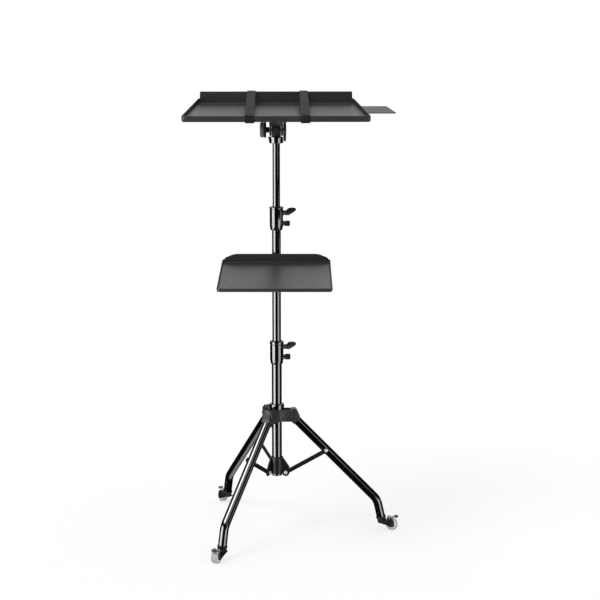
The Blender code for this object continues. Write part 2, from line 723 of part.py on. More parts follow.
def leg_tube():
    path = leg_path()
    outside = [ring_across(centre, angle, LEG_TUBE_RADIUS) for centre, angle in path]
    inside = [ring_across(centre, angle, LEG_TUBE_RADIUS - TUBE_WALL) for centre, angle in path]
    return solid("leg_tube", outside + list(reversed(inside)), True)


def leg_top_block():
    outline = eased(LEG_BLOCK_OUTLINE, LEG_BLOCK_CORNER)
    item = slab("leg_top_block", outline, -LEG_BLOCK_HALF_WIDTH, LEG_BLOCK_HALF_WIDTH, "Y")
    plug_start = LEG_TUBE_START - LEG_BLOCK_CORNER
    plug = pin("plug", LEG_PLUG_RADIUS, plug_start, LEG_BLOCK_PLUG_END, "X", sides=TUBE_SIDES)
    joined(item, plug)
    reach = LEG_BLOCK_HALF_WIDTH + OVERRUN
    return cut(item, pin("hole", PIN_HOLE_RADIUS, -reach, reach, "Y"))


# Where the leg's foot ends and where its line meets the caster's seat, outward and up from the ground
def foot_end():
    leg = Vector((math.sin(LEG_SPLAY), -math.cos(LEG_SPLAY)))
    foot = Vector((math.sin(LEG_FOOT_SPLAY), -math.cos(LEG_FOOT_SPLAY)))
    pivot = Vector((LEG_PIVOT_RADIUS, LEG_PIVOT_HEIGHT))
    return pivot + leg * LEG_BEND_AT + foot * LEG_FOOT_LENGTH


def swivel_radius():
    end = foot_end()
    return end.x + (end.y - SOCKET_BOTTOM) * math.tan(LEG_FOOT_SPLAY)


def leg_socket():
    along = (foot_end().y - SOCKET_BOTTOM) / math.cos(LEG_FOOT_SPLAY)
    flange_top = along - SEAT_GAP
    flange_bottom = flange_top - SOCKET_FLANGE_HEIGHT
    tilt = math.pi / 2.0 - LEG_FOOT_SPLAY

    def at(distance):
        lean = Vector((-math.sin(LEG_FOOT_SPLAY), 0.0, math.cos(LEG_FOOT_SPLAY)))
        return Vector((0.0, 0.0, SOCKET_BOTTOM)) + lean * distance

    rings = [
        ring_across(at(along + SOCKET_PLUG_LENGTH), tilt, LEG_PLUG_RADIUS),
        ring_across(at(flange_top), tilt, LEG_PLUG_RADIUS),
        ring_across(at(flange_top), tilt, SOCKET_FLANGE_RADIUS),
        ring_across(at(flange_bottom), tilt, SOCKET_FLANGE_RADIUS),
        ring_across(at(0.0), math.pi / 2.0, SOCKET_RADIUS),
    ]
    item = solid("leg_socket", rings, False)
    bore_top = KINGPIN_TOP + SEAT_GAP
    return cut(item, pin("bore", KINGPIN_RADIUS + SLIDE_GAP, SOCKET_BOTTOM - OVERRUN, bore_top, "Z"))


# Casters: local X is outward from the swivel axis, local Z is up from the ground
def caster_fork():
    outline = eased(FORK_OUTLINE, FORK_CORNER)
    item = slab("caster_fork", outline, -FORK_HALF_WIDTH, FORK_HALF_WIDTH, "Y")
    seat = SOCKET_BOTTOM - SEAT_GAP
    profile = (
        (FORK_DISC_RADIUS, FORK_DISC_BOTTOM),
        (FORK_DISC_RADIUS, seat),
        (KINGPIN_RADIUS, seat),
        (KINGPIN_RADIUS, KINGPIN_TOP),
    )
    joined(item, turned("disc", profile, TUBE_SIDES, False))
    radius = WHEEL_RADIUS + WHEEL_CLEARANCE
    axle = (CASTER_TRAIL, WHEEL_RADIUS)
    inner = FORK_DISC_RADIUS + WHEEL_CLEARANCE * 3.0
    opening = math.acos((inner - CASTER_TRAIL) / radius)
    top = KINGPIN_TOP
    outer = CASTER_TRAIL + radius
    sweep = arc(axle, radius, opening, math.pi * 1.5, EYE_STEPS)
    outline = [(inner, top)] + sweep + [(outer, WHEEL_RADIUS - radius), (outer, top)]
    slot = slab("slot", outline, -FORK_SLOT_HALF_WIDTH, FORK_SLOT_HALF_WIDTH, "Y")
    reach = FORK_HALF_WIDTH + OVERRUN
    axle_hole = pin("axle", AXLE_HOLE_RADIUS, -reach, reach, "Y", (axle[0], 0.0, axle[1]))
    pivot = (BRAKE_PIVOT[0], 0.0, BRAKE_PIVOT[1])
    brake_hole = pin("stub", BRAKE_STUB_RADIUS + SLIDE_GAP, -reach, reach, "Y", pivot)
    return cut(item, slot, axle_hole, brake_hole)


def caster_wheel():
    half = WHEEL_HALF_WIDTH
    profile = (
        (AXLE_HOLE_RADIUS, -half),
        (WHEEL_RADIUS - WHEEL_EDGE, -half),
        (WHEEL_RADIUS, WHEEL_EDGE - half),
        (WHEEL_RADIUS, half - WHEEL_EDGE),
        (WHEEL_RADIUS - WHEEL_EDGE, half),
        (AXLE_HOLE_RADIUS, half),
    )
    return turned("caster_wheel", profile, TUBE_SIDES, True, "Y")


def caster_brake():
    barrel = FORK_SLOT_HALF_WIDTH - SLIDE_GAP
    stub = barrel + BRAKE_STUB_REACH
    profile = (
        (BRAKE_STUB_RADIUS, -stub),
        (BRAKE_STUB_RADIUS, -barrel),
        (BRAKE_BARREL_RADIUS, -barrel),
        (BRAKE_BARREL_RADIUS, barrel),
        (BRAKE_STUB_RADIUS, barrel),
        (BRAKE_STUB_RADIUS, stub),
    )
    item = turned("caster_brake", profile, PIN_SIDES, False, "Y")
    arm = slab("arm", BRAKE_ARM_OUTLINE, -BRAKE_ARM_HALF_WIDTH, BRAKE_ARM_HALF_WIDTH, "Y")
    oval = [
        (BRAKE_PAD_CENTRE[0] + BRAKE_PAD_LENGTH * across, BRAKE_PAD_CENTRE[1] + BRAKE_PAD_HEIGHT * up)
        for across, up in arc((0.0, 0.0), 1.0, 0.0, math.tau, PIN_SIDES)[:-1]
    ]
    pad = slab("pad", oval, -BRAKE_PAD_HALF_WIDTH, BRAKE_PAD_HALF_WIDTH, "Y")
    return joined(item, arm, pad)


def build_legs(arms, casting, gloss, plastic, chrome, pale, pedal):
    axes = []
    casters = []
    for number, arm in enumerate(arms, start=1):
        pivot = (LEG_PIVOT_RADIUS, 0.0, LEG_PIVOT_HEIGHT)
        axis = frame(f"leg_axis_{number}", arm, pivot)
        axes.append(axis)
        seat = (swivel_radius() - LEG_PIVOT_RADIUS, 0.0, -LEG_PIVOT_HEIGHT)
        casters.append(frame(f"caster_axis_{number}", axis, seat))
    slope = (0.0, math.pi / 2.0 - LEG_SPLAY, 0.0)
    place_each(dress(leg_tube(), gloss), "leg_tube", axes, rotation=slope)
    place_each(dress(leg_top_block(), casting), "leg_top_block", axes, rotation=slope)
    place_each(dress(leg_socket(), plastic), "leg_socket", casters)
    place_each(dress(caster_fork(), plastic), "caster_fork", casters)
    axle = (CASTER_TRAIL, 0.0, WHEEL_RADIUS)
    place_each(dress(caster_wheel(), pale), "caster_wheel", casters, axle)
    reach = FORK_HALF_WIDTH + SEAT_GAP
    bolt = headed_pin("caster_axle", AXLE_RADIUS, AXLE_HEAD_RADIUS, AXLE_HEAD_HEIGHT, -reach, reach)
    place_each(dress(bolt, chrome), "caster_axle", casters, axle)
    pivot = (BRAKE_PIVOT[0], 0.0, BRAKE_PIVOT[1])
    place_each(dress(caster_brake(), pedal), "caster_brake", casters, pivot)


# Braces: local X runs from the bracket's pin to the leg's rivet
def brace_reach():
    along = Vector((math.sin(LEG_SPLAY), -math.cos(LEG_SPLAY))) * BRACE_ON_LEG
    top = Vector((LEG_PIVOT_RADIUS, LEG_PIVOT_HEIGHT)) + along
    return top - Vector((BRACE_FOOT_RADIUS, BRACE_FOOT_HEIGHT))


def brace():
    length = brace_reach().length
    lower = math.asin(BRACE_HALF_WIDTH / BRACE_EYE_RADIUS)
    upper = math.asin(BRACE_HALF_WIDTH / BRACE_TIP_RADIUS)
    outline = arc((0.0, 0.0), BRACE_EYE_RADIUS, lower, math.tau - lower, EYE_STEPS * 2)
    outline += arc((length, 0.0), BRACE_TIP_RADIUS, upper - math.pi, math.pi - upper, EYE_STEPS)
    low = BRACE_SIDE - BRACE_THICKNESS
    item = slab("brace", outline, low, BRACE_SIDE, "Y")
    for along in (0.0, length):
        at = (along, 0.0, 0.0)
        cut(item, pin("hole", PIN_HOLE_RADIUS, low - OVERRUN, BRACE_SIDE + OVERRUN, "Y", at))
    return item


# The rivet goes through the brace and stops just short of the leg's wall
def brace_rivet():
    outer = BRACE_SIDE - BRACE_THICKNESS - SEAT_GAP
    inner = -(LEG_TUBE_RADIUS + SEAT_GAP)
    profile = (
        (PIN_HEAD_RADIUS - PIN_HEAD_HEIGHT, outer - PIN_HEAD_HEIGHT),
        (PIN_HEAD_RADIUS, outer - PIN_HEAD_HEIGHT / 2.0),
        (PIN_HEAD_RADIUS, outer),
        (PIN_RADIUS, outer),
        (PIN_RADIUS, inner),
    )
    return turned("brace_rivet", profile, PIN_SIDES, False, "Y")


def spreader_bracket():
    bore = LOWER_TUBE_RADIUS + SEAT_GAP
    profile = (
        (bore, BRACKET_BOTTOM),
        (BRACKET_RADIUS, BRACKET_BOTTOM),
        (BRACKET_RADIUS, BRACKET_TOP),
        (bore, BRACKET_TOP),
    )
    item = turned("spreader_bracket", profile)
    outer = BRACE_SIDE + SLIDE_GAP
    inner = outer + FIN_THICKNESS
    outline = eased(FIN_OUTLINE, FIN_CORNER)
    at = (BRACE_FOOT_RADIUS, 0.0, BRACE_FOOT_HEIGHT)
    for azimuth in LEG_AZIMUTHS:
        fin = slab("fin", outline, outer, inner, "Y")
        raised = Matrix.Translation((0.0, 0.0, BRACE_FOOT_HEIGHT))
        fin.data.transform(Matrix.Rotation(azimuth, 4, "Z") @ raised)
        joined(item, fin)
    for azimuth in LEG_AZIMUTHS:
        hole = pin("hole", PIN_HOLE_RADIUS, outer - OVERRUN, inner + OVERRUN, "Y", at)
        hole.data.transform(Matrix.Rotation(azimuth, 4, "Z"))
        cut(item, hole)
    return item


def build_spreader(parent, arms, casting, gloss, chrome):
    place(dress(spreader_bracket(), casting), parent)
    reach = brace_reach()
    foot = (BRACE_FOOT_RADIUS, 0.0, BRACE_FOOT_HEIGHT)
    rise = (0.0, -math.atan2(reach.y, reach.x), 0.0)
    place_each(dress(brace(), gloss), "brace", arms, foot, rise)
    low = BRACE_SIDE - BRACE_THICKNESS - SEAT_GAP
    high = BRACE_SIDE + SLIDE_GAP + FIN_THICKNESS + SEAT_GAP
    bolt = headed_pin("brace_pin", PIN_RADIUS, PIN_HEAD_RADIUS, PIN_HEAD_HEIGHT, low, high)
    place_each(dress(bolt, chrome), "brace_pin", arms, foot)
    leg_end = (foot[0] + reach.x, 0.0, foot[2] + reach.y)
    place_each(dress(brace_rivet(), chrome), "brace_rivet", arms, leg_end)


# Head that turns on the upper tube and carries the tilt axis
def head_socket():
    bore = UPPER_TUBE_RADIUS + SLIDE_GAP
    profile = (
        (bore, UPPER_TUBE_TOP + SEAT_GAP),
        (bore, HEAD_BASE_BOTTOM),
        (HEAD_BASE_FOOT_RADIUS, HEAD_BASE_BOTTOM),
        (HEAD_BASE_RADIUS, HEAD_BASE_TOP - TONGUE_BITE),
        (HEAD_BASE_RADIUS, HEAD_BASE_TOP),
    )
    item = turned("head_socket", profile, loop=False)
    side = HEAD_BASE_RADIUS + OVERRUN
    trim = block(
        "trim",
        (YOKE_OUTER, -side, HEAD_BASE_BOTTOM - OVERRUN),
        (side, side, HEAD_BASE_TOP + OVERRUN),
    )
    cut(item, trim)
    top = arc((0.0, TILT_HEIGHT), TONGUE_RADIUS, 0.0, math.pi, EYE_STEPS)
    foot = HEAD_BASE_TOP - TONGUE_BITE
    outline = [(-TONGUE_FOOT_HALF_WIDTH, foot), (TONGUE_FOOT_HALF_WIDTH, foot)] + top
    half = TONGUE_HALF_LENGTH
    joined(item, slab("tongue", outline, -half, half, "X"))
    reach = half + OVERRUN
    return cut(item, pin("hole", BOLT_HOLE_RADIUS, -reach, reach, "X", (0.0, 0.0, TILT_HEIGHT)))


# Yoke under the upper tray: two cheeks that hang from a flange, round below the tilt bolt
def tilt_block():
    top = UPPER_TRAY_UNDERSIDE - SEAT_GAP
    bottom = top - FLANGE_THICKNESS
    side = FLANGE_HALF_SIDE
    corners = eased(((-side, -side), (side, -side), (side, side), (-side, side)), FLANGE_CORNER)
    item = slab("tilt_block", corners, bottom, top, "Z")
    shoulder = bottom + FLANGE_THICKNESS / 2.0
    round_end = arc((0.0, 0.0), YOKE_RADIUS, -math.pi, 0.0, EYE_STEPS)
    outline = round_end + [(YOKE_RADIUS, shoulder), (-YOKE_RADIUS, shoulder)]
    joined(item, slab("cheeks", outline, -YOKE_OUTER, YOKE_OUTER, "X"))
    depth = YOKE_RADIUS + OVERRUN
    bore = TONGUE_RADIUS + SLIDE_GAP
    seat = arc((0.0, 0.0), bore, math.asin(YOKE_SHOULDER / bore), math.acos(YOKE_STEP_AT / bore), EYE_STEPS)
    outline = [(-depth, -depth), (depth, -depth), (depth, YOKE_SHOULDER)] + seat
    outline += [(YOKE_STEP_AT, YOKE_ROOT), (-depth, YOKE_ROOT)]
    slot = slab("slot", outline, -YOKE_INNER, YOKE_INNER, "X")
    reach = YOKE_OUTER + OVERRUN
    return cut(item, slot, pin("hole", BOLT_HOLE_RADIUS, -reach, reach, "X"))


def tilt_bolt():
    profile = (
        (BOLT_RADIUS, YOKE_OUTER + SLIDE_GAP + TILT_WHEEL_BORE_DEPTH - SEAT_GAP),
        (BOLT_RADIUS, -YOKE_OUTER - SEAT_GAP),
        (KNOB_NECK_RADIUS, -YOKE_OUTER - SEAT_GAP),
        (KNOB_NECK_RADIUS, KNOB_INNER),
        (KNOB_RADIUS - KNOB_EDGE, KNOB_INNER),
        (KNOB_RADIUS, KNOB_INNER - KNOB_EDGE),
        (KNOB_RADIUS, KNOB_OUTER + KNOB_EDGE * 2.0),
        (KNOB_RADIUS - KNOB_EDGE * 2.0, KNOB_OUTER),
    )
    return turned("tilt_bolt", profile, loop=False, axis="X")


def tilt_wheel():
    start = YOKE_OUTER + SLIDE_GAP
    end = start + TILT_WHEEL_THICKNESS
    profile = (
        (BOLT_HOLE_RADIUS, start + TILT_WHEEL_BORE_DEPTH),
        (BOLT_HOLE_RADIUS, start),
        (TILT_WHEEL_RADIUS - KNOB_EDGE, start, 1.0),
        (TILT_WHEEL_RADIUS, start + KNOB_EDGE, 1.0),
        (TILT_WHEEL_RADIUS, end - KNOB_EDGE, 1.0),
        (TILT_WHEEL_RADIUS - KNOB_EDGE, end, 1.0),
    )
    sides = TILT_WHEEL_LOBES * EYE_STEPS
    return turned("tilt_wheel", profile, sides, False, "X", TILT_WHEEL_LOBES, TILT_WHEEL_LOBE_DEPTH)


# A folded sheet tray: each corner of its outline has the height of the wall there
def tray(name, corners, heights, underside):
    radii = (TRAY_FRONT_CORNER,) * 2 + (TRAY_BACK_CORNER,) * 4
    outer = rounded(corners, radii, 0.0)
    inner = rounded(corners, radii, TRAY_SHEET)
    floor = underside + TRAY_SHEET
    rings = [
        [Vector((point.x, point.y, underside)) for _, point in outer],
        [Vector((point.x, point.y, underside + heights[index])) for index, point in outer],
        [Vector((point.x, point.y, underside + heights[index])) for index, point in inner],
        [Vector((point.x, point.y, floor)) for _, point in inner],
    ]
    return solid(name, rings, False)


def tray_corners(front_half, back_half, front, back, chamfer):
    return (
        (-front_half, front),
        (front_half, front),
        (back_half, back),
        (back_half - chamfer, back),
        (chamfer - back_half, back),
        (-back_half, back),
    )


def upper_tray():
    corners = tray_corners(
        UPPER_TRAY_FRONT_WIDTH / 2.0,
        UPPER_TRAY_BACK_WIDTH / 2.0,
        -UPPER_TRAY_DEPTH / 2.0,
        UPPER_TRAY_DEPTH / 2.0,
        UPPER_TRAY_BACK_CHAMFER,
    )
    lip = UPPER_TRAY_LIP
    wall = UPPER_TRAY_BACK_WALL
    return tray("upper_tray", corners, (lip, lip, lip, wall, wall, lip), UPPER_TRAY_UNDERSIDE)


def lower_tray():
    half = LOWER_TRAY_WIDTH / 2.0
    corners = tray_corners(half, half, -LOWER_TRAY_DEPTH, 0.0, LOWER_TRAY_BACK_CHAMFER)
    lip = LOWER_TRAY_LIP
    wall = LOWER_TRAY_BACK_WALL
    return tray("lower_tray", corners, (lip, lip, lip, wall, wall, lip), 0.0)


# Taut strap round the tray, from the front lip to the top of the back wall and back underneath
def strap(name, middle):
    half = UPPER_TRAY_DEPTH / 2.0
    floor = UPPER_TRAY_UNDERSIDE
    corners = (
        (-half, floor),
        (half, floor),
        (half, floor + UPPER_TRAY_BACK_WALL),
        (half - TRAY_SHEET, floor + UPPER_TRAY_BACK_WALL),
        (-half, floor + UPPER_TRAY_LIP),
    )
    radii = (STRAP_THICKNESS / 2.0,) * len(corners)
    inner = rounded(corners, radii, -STRAP_CLEARANCE)
    outer = rounded(corners, radii, -STRAP_CLEARANCE - STRAP_THICKNESS)
    left = middle - STRAP_WIDTH / 2.0
    right = middle + STRAP_WIDTH / 2.0
    rings = [
        [Vector((across, point.x, point.y)) for _, point in loop]
        for loop, across in ((outer, left), (outer, right), (inner, right), (inner, left))
    ]
    return solid(name, rings, True)


# Rail with a groove that holds one edge of the mouse plate; the edge and the groove's side give its place
def mouse_rail(name, edge, inward):
    top = UPPER_TRAY_UNDERSIDE - SEAT_GAP
    plate_top = UPPER_TRAY_UNDERSIDE - MOUSE_PLATE_DROP
    plate_bottom = plate_top - MOUSE_PLATE_THICKNESS
    bottom = plate_bottom - SLIDE_GAP - RAIL_WALL
    groove = edge - inward * SLIDE_GAP
    back = groove - inward * RAIL_WALL
    tip = edge + inward * RAIL_LIP
    outline = (
        (back, bottom),
        (tip, bottom),
        (tip, plate_bottom - SLIDE_GAP),
        (groove, plate_bottom - SLIDE_GAP),
        (groove, plate_top + SLIDE_GAP),
        (tip, plate_top + SLIDE_GAP),
        (tip, top),
        (back, top),
    )
    return slab(name, outline, RAIL_LEFT, RAIL_RIGHT, "X")


def mouse_plate():
    corners = (
        (MOUSE_PLATE_LEFT, MOUSE_PLATE_FRONT),
        (MOUSE_PLATE_RIGHT, MOUSE_PLATE_FRONT),
        (MOUSE_PLATE_RIGHT - MOUSE_PLATE_TAPER, MOUSE_PLATE_BACK),
        (MOUSE_PLATE_LEFT, MOUSE_PLATE_BACK),
    )
    top = UPPER_TRAY_UNDERSIDE - MOUSE_PLATE_DROP
    outline = eased(corners, MOUSE_PLATE_CORNER)
    return slab("mouse_plate", outline, top - MOUSE_PLATE_THICKNESS, top, "Z")


def build_head(parent, casting, plastic, tray_grey, webbing, steel):
    place(dress(head_socket(), casting), parent)
    tilt = frame("tilt_axis", parent, (0.0, 0.0, TILT_HEIGHT), (UPPER_TRAY_LEAN, 0.0, 0.0))
    place(dress(tilt_block(), casting), tilt)
    place(dress(tilt_bolt(), plastic), tilt)
    place(dress(tilt_wheel(), plastic), tilt)
    place(dress(upper_tray(), tray_grey), tilt)
    place(dress(strap("strap_left", STRAP_LEFT_AT), webbing), tilt)
    place(dress(strap("strap_right", STRAP_RIGHT_AT), webbing), tilt)
    place(dress(mouse_rail("mouse_rail_front", MOUSE_PLATE_FRONT, 1.0), steel), tilt)
    place(dress(mouse_rail("mouse_rail_rear", MOUSE_PLATE_BACK, -1.0), steel), tilt)
    place(dress(mouse_plate(), tray_grey), tilt)


# Lower tray's sliding liner, swivel bracket and clamp knob
def tray_clamp_liner():
    bore = MIDDLE_TUBE_RADIUS + SLIDE_GAP
    shelf = LINER_BOTTOM + LINER_FLANGE_HEIGHT
    profile = (
        (bore, LINER_BOTTOM),
        (LINER_FLANGE_RADIUS, LINER_BOTTOM),
        (LINER_FLANGE_RADIUS, shelf),
        (LINER_RADIUS, shelf),
        (LINER_RADIUS, LINER_TOP),
        (bore, LINER_TOP),
    )
    return turned("tray_clamp_liner", profile)


def tray_bracket():
    bore = LINER_RADIUS + SLIDE_GAP
    bottom = LINER_BOTTOM + LINER_FLANGE_HEIGHT + SEAT_GAP
    top = bottom + BRACKET_RING_HEIGHT
    profile = (
        (bore, bottom),
        (BRACKET_RING_RADIUS, bottom),
        (BRACKET_RING_RADIUS, top),
        (bore, top),
    )
    item = turned("tray_bracket", profile)
    half = BRACKET_PLATE_HALF_WIDTH
    corners = eased(
        ((-half, -BRACKET_PLATE_DEPTH), (half, -BRACKET_PLATE_DEPTH), (half, 0.0), (-half, 0.0)),
        FLANGE_CORNER,
    )
    plate = slab("plate", corners, -SEAT_GAP - BRACKET_PLATE_THICKNESS, -SEAT_GAP, "Z")
    at = Matrix.Translation((0.0, LOWER_TRAY_BACK_AT, LOWER_TRAY_UNDERSIDE))
    plate.data.transform(at @ Matrix.Rotation(LOWER_TRAY_LEAN, 4, "X"))
    neck_half = BRACKET_NECK_HALF_WIDTH
    neck_top = LOWER_TRAY_UNDERSIDE - BRACKET_NECK_REACH * math.tan(LOWER_TRAY_LEAN) - SEAT_GAP
    neck_back = -math.sqrt(BRACKET_RING_RADIUS**2 - neck_half**2)
    neck = block(
        "neck",
        (-neck_half, -BRACKET_NECK_REACH, neck_top - BRACKET_NECK_HEIGHT),
        (neck_half, neck_back, neck_top),
    )
    joined(item, neck, plate)
    knob_at = (0.0, 0.0, bottom + BRACKET_RING_HEIGHT / 2.0)
    return cut(item, pin("hole", PIN_HOLE_RADIUS, bore - OVERRUN, BRACKET_RING_RADIUS + OVERRUN, "Y", knob_at))


def build_lower_tray(parent, casting, plastic, tray_grey):
    place(dress(tray_clamp_liner(), plastic), parent)
    place(dress(tray_bracket(), casting), parent)
    ring_bottom = LINER_BOTTOM + LINER_FLANGE_HEIGHT + SEAT_GAP
    knob = screw_knob(
        "tray_clamp_knob", BRACKET_RING_RADIUS, LINER_RADIUS, CLAMP_KNOB_RADIUS, CLAMP_KNOB_LENGTH, "Y"
    )
    place(dress(knob, plastic), parent, (0.0, 0.0, ring_bottom + BRACKET_RING_HEIGHT / 2.0))
    turn = Matrix.Rotation(LOWER_TRAY_TURN, 4, "Z")
    back_edge = turn @ Vector((0.0, LOWER_TRAY_BACK_AT, LOWER_TRAY_UNDERSIDE))
    lean = frame("lower_tray_lean", parent, back_edge, (LOWER_TRAY_LEAN, 0.0, LOWER_TRAY_TURN))
    place(dress(lower_tray(), tray_grey), lean)


# Origin in the middle of the footprint, on the ground
def centre_on_ground(stand):
    bpy.context.view_layer.update()
    corners = []
    for item in bpy.data.objects:
        if item.type == "MESH":
            corners += [item.matrix_world @ vertex.co for vertex in item.data.vertices]
    lows = [min(corner[axis] for corner in corners) for axis in range(3)]
    highs = [max(corner[axis] for corner in corners) for axis in range(3)]
    stand.location = (-(lows[0] + highs[0]) / 2.0, -(lows[1] + highs[1]) / 2.0, -lows[2])
    bpy.context.view_layer.update()


def main():
    for item in list(bpy.data.objects):
        bpy.data.objects.remove(item, do_unlink=True)
    gloss = material("gloss_black", GLOSS_BLACK)
    plastic = material("satin_black", SATIN_BLACK)
    casting = material("dark_casting", DARK_CASTING)
    tray_grey = material("tray_grey", TRAY_GREY)
    steel = material("satin_steel", SATIN_STEEL)
    chrome = material("chrome", CHROME)
    webbing = material("webbing", WEBBING)
    pale = material("pale_wheel", PALE_WHEEL)
    pedal = material("pedal_grey", PEDAL_GREY)
    stand = frame("stand", None)
    arms = []
    for number, azimuth in enumerate(LEG_AZIMUTHS, start=1):
        arms.append(frame(f"arm_{number}", stand, rotation=(0.0, 0.0, azimuth)))
    build_mast(stand, gloss, casting, plastic)
    build_hub(stand, arms, casting, plastic)
    build_legs(arms, casting, gloss, plastic, chrome, pale, pedal)
    build_spreader(stand, arms, casting, gloss, chrome)
    build_lower_tray(stand, casting, plastic, tray_grey)
    build_head(stand, casting, plastic, tray_grey, webbing, steel)
    centre_on_ground(stand)


main()
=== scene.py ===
import json
import math

import bmesh
import bpy
from mathutils import Matrix, Vector


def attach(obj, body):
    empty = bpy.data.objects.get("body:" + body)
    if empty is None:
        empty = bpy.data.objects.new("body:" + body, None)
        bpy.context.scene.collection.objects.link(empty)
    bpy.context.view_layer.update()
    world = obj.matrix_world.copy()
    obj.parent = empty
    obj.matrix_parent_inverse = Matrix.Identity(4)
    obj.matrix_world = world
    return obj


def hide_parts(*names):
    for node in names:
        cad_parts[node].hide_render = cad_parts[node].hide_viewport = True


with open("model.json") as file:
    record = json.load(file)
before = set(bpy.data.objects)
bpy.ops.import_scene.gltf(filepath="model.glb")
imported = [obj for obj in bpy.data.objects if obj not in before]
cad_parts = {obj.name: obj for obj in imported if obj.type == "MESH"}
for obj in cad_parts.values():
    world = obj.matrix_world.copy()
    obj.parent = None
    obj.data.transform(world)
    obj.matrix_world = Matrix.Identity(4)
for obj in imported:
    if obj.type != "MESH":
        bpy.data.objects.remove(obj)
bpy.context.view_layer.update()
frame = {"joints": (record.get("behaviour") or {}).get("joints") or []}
JOINTS = {joint["name"]: joint for joint in frame["joints"]}


# Corners of a rectangle, always in this order
def rectangle(left, low, right, high):
    return ((left, low), (right, low), (right, high), (left, high))


# All sizes below are in millimetres from the mast's axis on the ground, unless said otherwise
MM = 0.001
DEG = math.pi / 180.0
QUARTER = 90.0 * DEG
HALF_TURN = 180.0 * DEG
MAST = Vector(JOINTS["head_swivel"]["pos_m"])
AT_MAST = Matrix.Translation((MAST.x, MAST.y, 0.0))
LEG_NUMBERS = (1, 2, 3)
LEG_SPLAY = 44.35 * DEG
LEG_FOOT_SPLAY = 13.0 * DEG
LEVER_TURN = 48.0 * DEG
TRAY_LEAN = 3.27 * DEG
LOWER_TRAY_LEAN = 3.5 * DEG
LOWER_TRAY_TURN = -0.8 * DEG
LOWER_TRAY_EDGE = Matrix.Translation(Vector((0.0, -22.0, 601.4)) * MM)
TURNS = {
    "X": Matrix.Rotation(QUARTER, 4, "Y"),
    "Y": Matrix.Rotation(-QUARTER, 4, "X"),
    "Z": Matrix.Identity(4),
}

# Outer and inner radius of each tube, radii of pins and their holes, the usual gap between two
# pieces, and the bores round each tube
LOWER_TUBE = (11.0, 9.8)
MIDDLE_TUBE = (9.5, 8.3)
UPPER_TUBE = (8.0, 6.8)
PIN = 2.3
HOLE = 2.6
GAP = 0.3
LOWER_BORE = 11.3
MIDDLE_BORE = 9.8
UPPER_BORE = 8.3

# Points that pieces share: leg pivot, brace pivot, caster axle and brake pivot
LEG_PIVOT = (34.0, 0.0, 260.0)
BRACE_PIVOT = (19.0, 0.0, 134.6)
AXLE_AT = (22.5, 0.0, 12.5)
BRAKE_AT = (16.6, 0.0, 26.3)


# Frames of the moving parts, read from the joints
def joint_point(name):
    return Vector(JOINTS[name]["pos_m"])


def arm_azimuth(number):
    across = Vector(JOINTS[f"leg_{number}_fold"]["axis"])
    return math.atan2(-across.x, across.y)


def at_arm(number):
    return AT_MAST @ Matrix.Rotation(arm_azimuth(number), 4, "Z")


# The same turn for a piece that is still centred on the mast's axis
def round_mast(number):
    return AT_MAST.inverted() @ at_arm(number)


def at_point(point, azimuth):
    return Matrix.Translation(point) @ Matrix.Rotation(azimuth, 4, "Z")


def at_leg(number):
    pivot = at_point(joint_point(f"leg_{number}_fold"), arm_azimuth(number))
    return pivot @ Matrix.Rotation(QUARTER - LEG_SPLAY, 4, "Y")


def at_caster(number):
    point = joint_point(f"caster_{number}_swivel")
    return at_point((point.x, point.y, 0.0), arm_azimuth(number))


def at_tray():
    return Matrix.Translation(joint_point("tray_tilt")) @ Matrix.Rotation(TRAY_LEAN, 4, "X")


def at_lower_tray():
    turn = Matrix.Rotation(LOWER_TRAY_TURN, 4, "Z")
    return AT_MAST @ turn @ LOWER_TRAY_EDGE @ Matrix.Rotation(LOWER_TRAY_LEAN, 4, "X")


def staged(name, data):
    item = bpy.data.objects.new(name, data)
    bpy.context.scene.collection.objects.link(item)
    return item


def placed(shape, name="piece"):
    mesh = bpy.data.meshes.new(name)
    shape.to_mesh(mesh)
    shape.free()
    return staged(name, mesh)


# Solids from rows of points
def solid(rings, loop=False):
    shape = bmesh.new()
    rows = [[shape.verts.new(Vector(point) * MM) for point in ring] for ring in rings]
    pairs = list(zip(rows, rows[1:]))
    if loop:
        pairs.append((rows[-1], rows[0]))
    for low, high in pairs:
        for index, corner in enumerate(low):
            following = (index + 1) % len(low)
            shape.faces.new((corner, low[following], high[following], high[index]))
    if not loop:
        shape.faces.new(list(reversed(rows[0])))
        shape.faces.new(rows[-1])
    bmesh.ops.recalc_face_normals(shape, faces=shape.faces)
    return placed(shape)


# A profile of radius and height, turned about an axis. reach shapes rows with a third entry
def turned(profile, sides=64, loop=True, axis="Z", reach=None):
    rings = []
    for row in profile:
        ring = []
        for side in range(sides):
            angle = math.tau * side / sides
            radius = reach(row[0], angle) if reach and len(row) > 2 else row[0]
            point = Vector((radius * math.cos(angle), radius * math.sin(angle), row[1]))
            ring.append(TURNS[axis] @ point)
        rings.append(ring)
    return solid(rings, loop)


# Round each corner of a turned profile or an outline with a short curve
def eased(corners, distances, steps=4, closed=True):
    most = 0.49
    points = []
    count = len(corners)
    if isinstance(distances, (int, float)):
        distances = [distances] * count
    for index, corner in enumerate(corners):
        here = Vector(corner[:2])
        if distances[index] == 0 or (not closed and index in (0, count - 1)):
            points.append(here)
            continue
        to_last = Vector(corners[index - 1][:2]) - here
        to_next = Vector(corners[(index + 1) % count][:2]) - here
        reach = min(distances[index], to_last.length * most, to_next.length * most)
        start = here + to_last.normalized() * reach
        end = here + to_next.normalized() * reach
        for step in range(steps + 1):
            share = step / steps
            points.append(start.lerp(here, share).lerp(here.lerp(end, share), share))
    return points


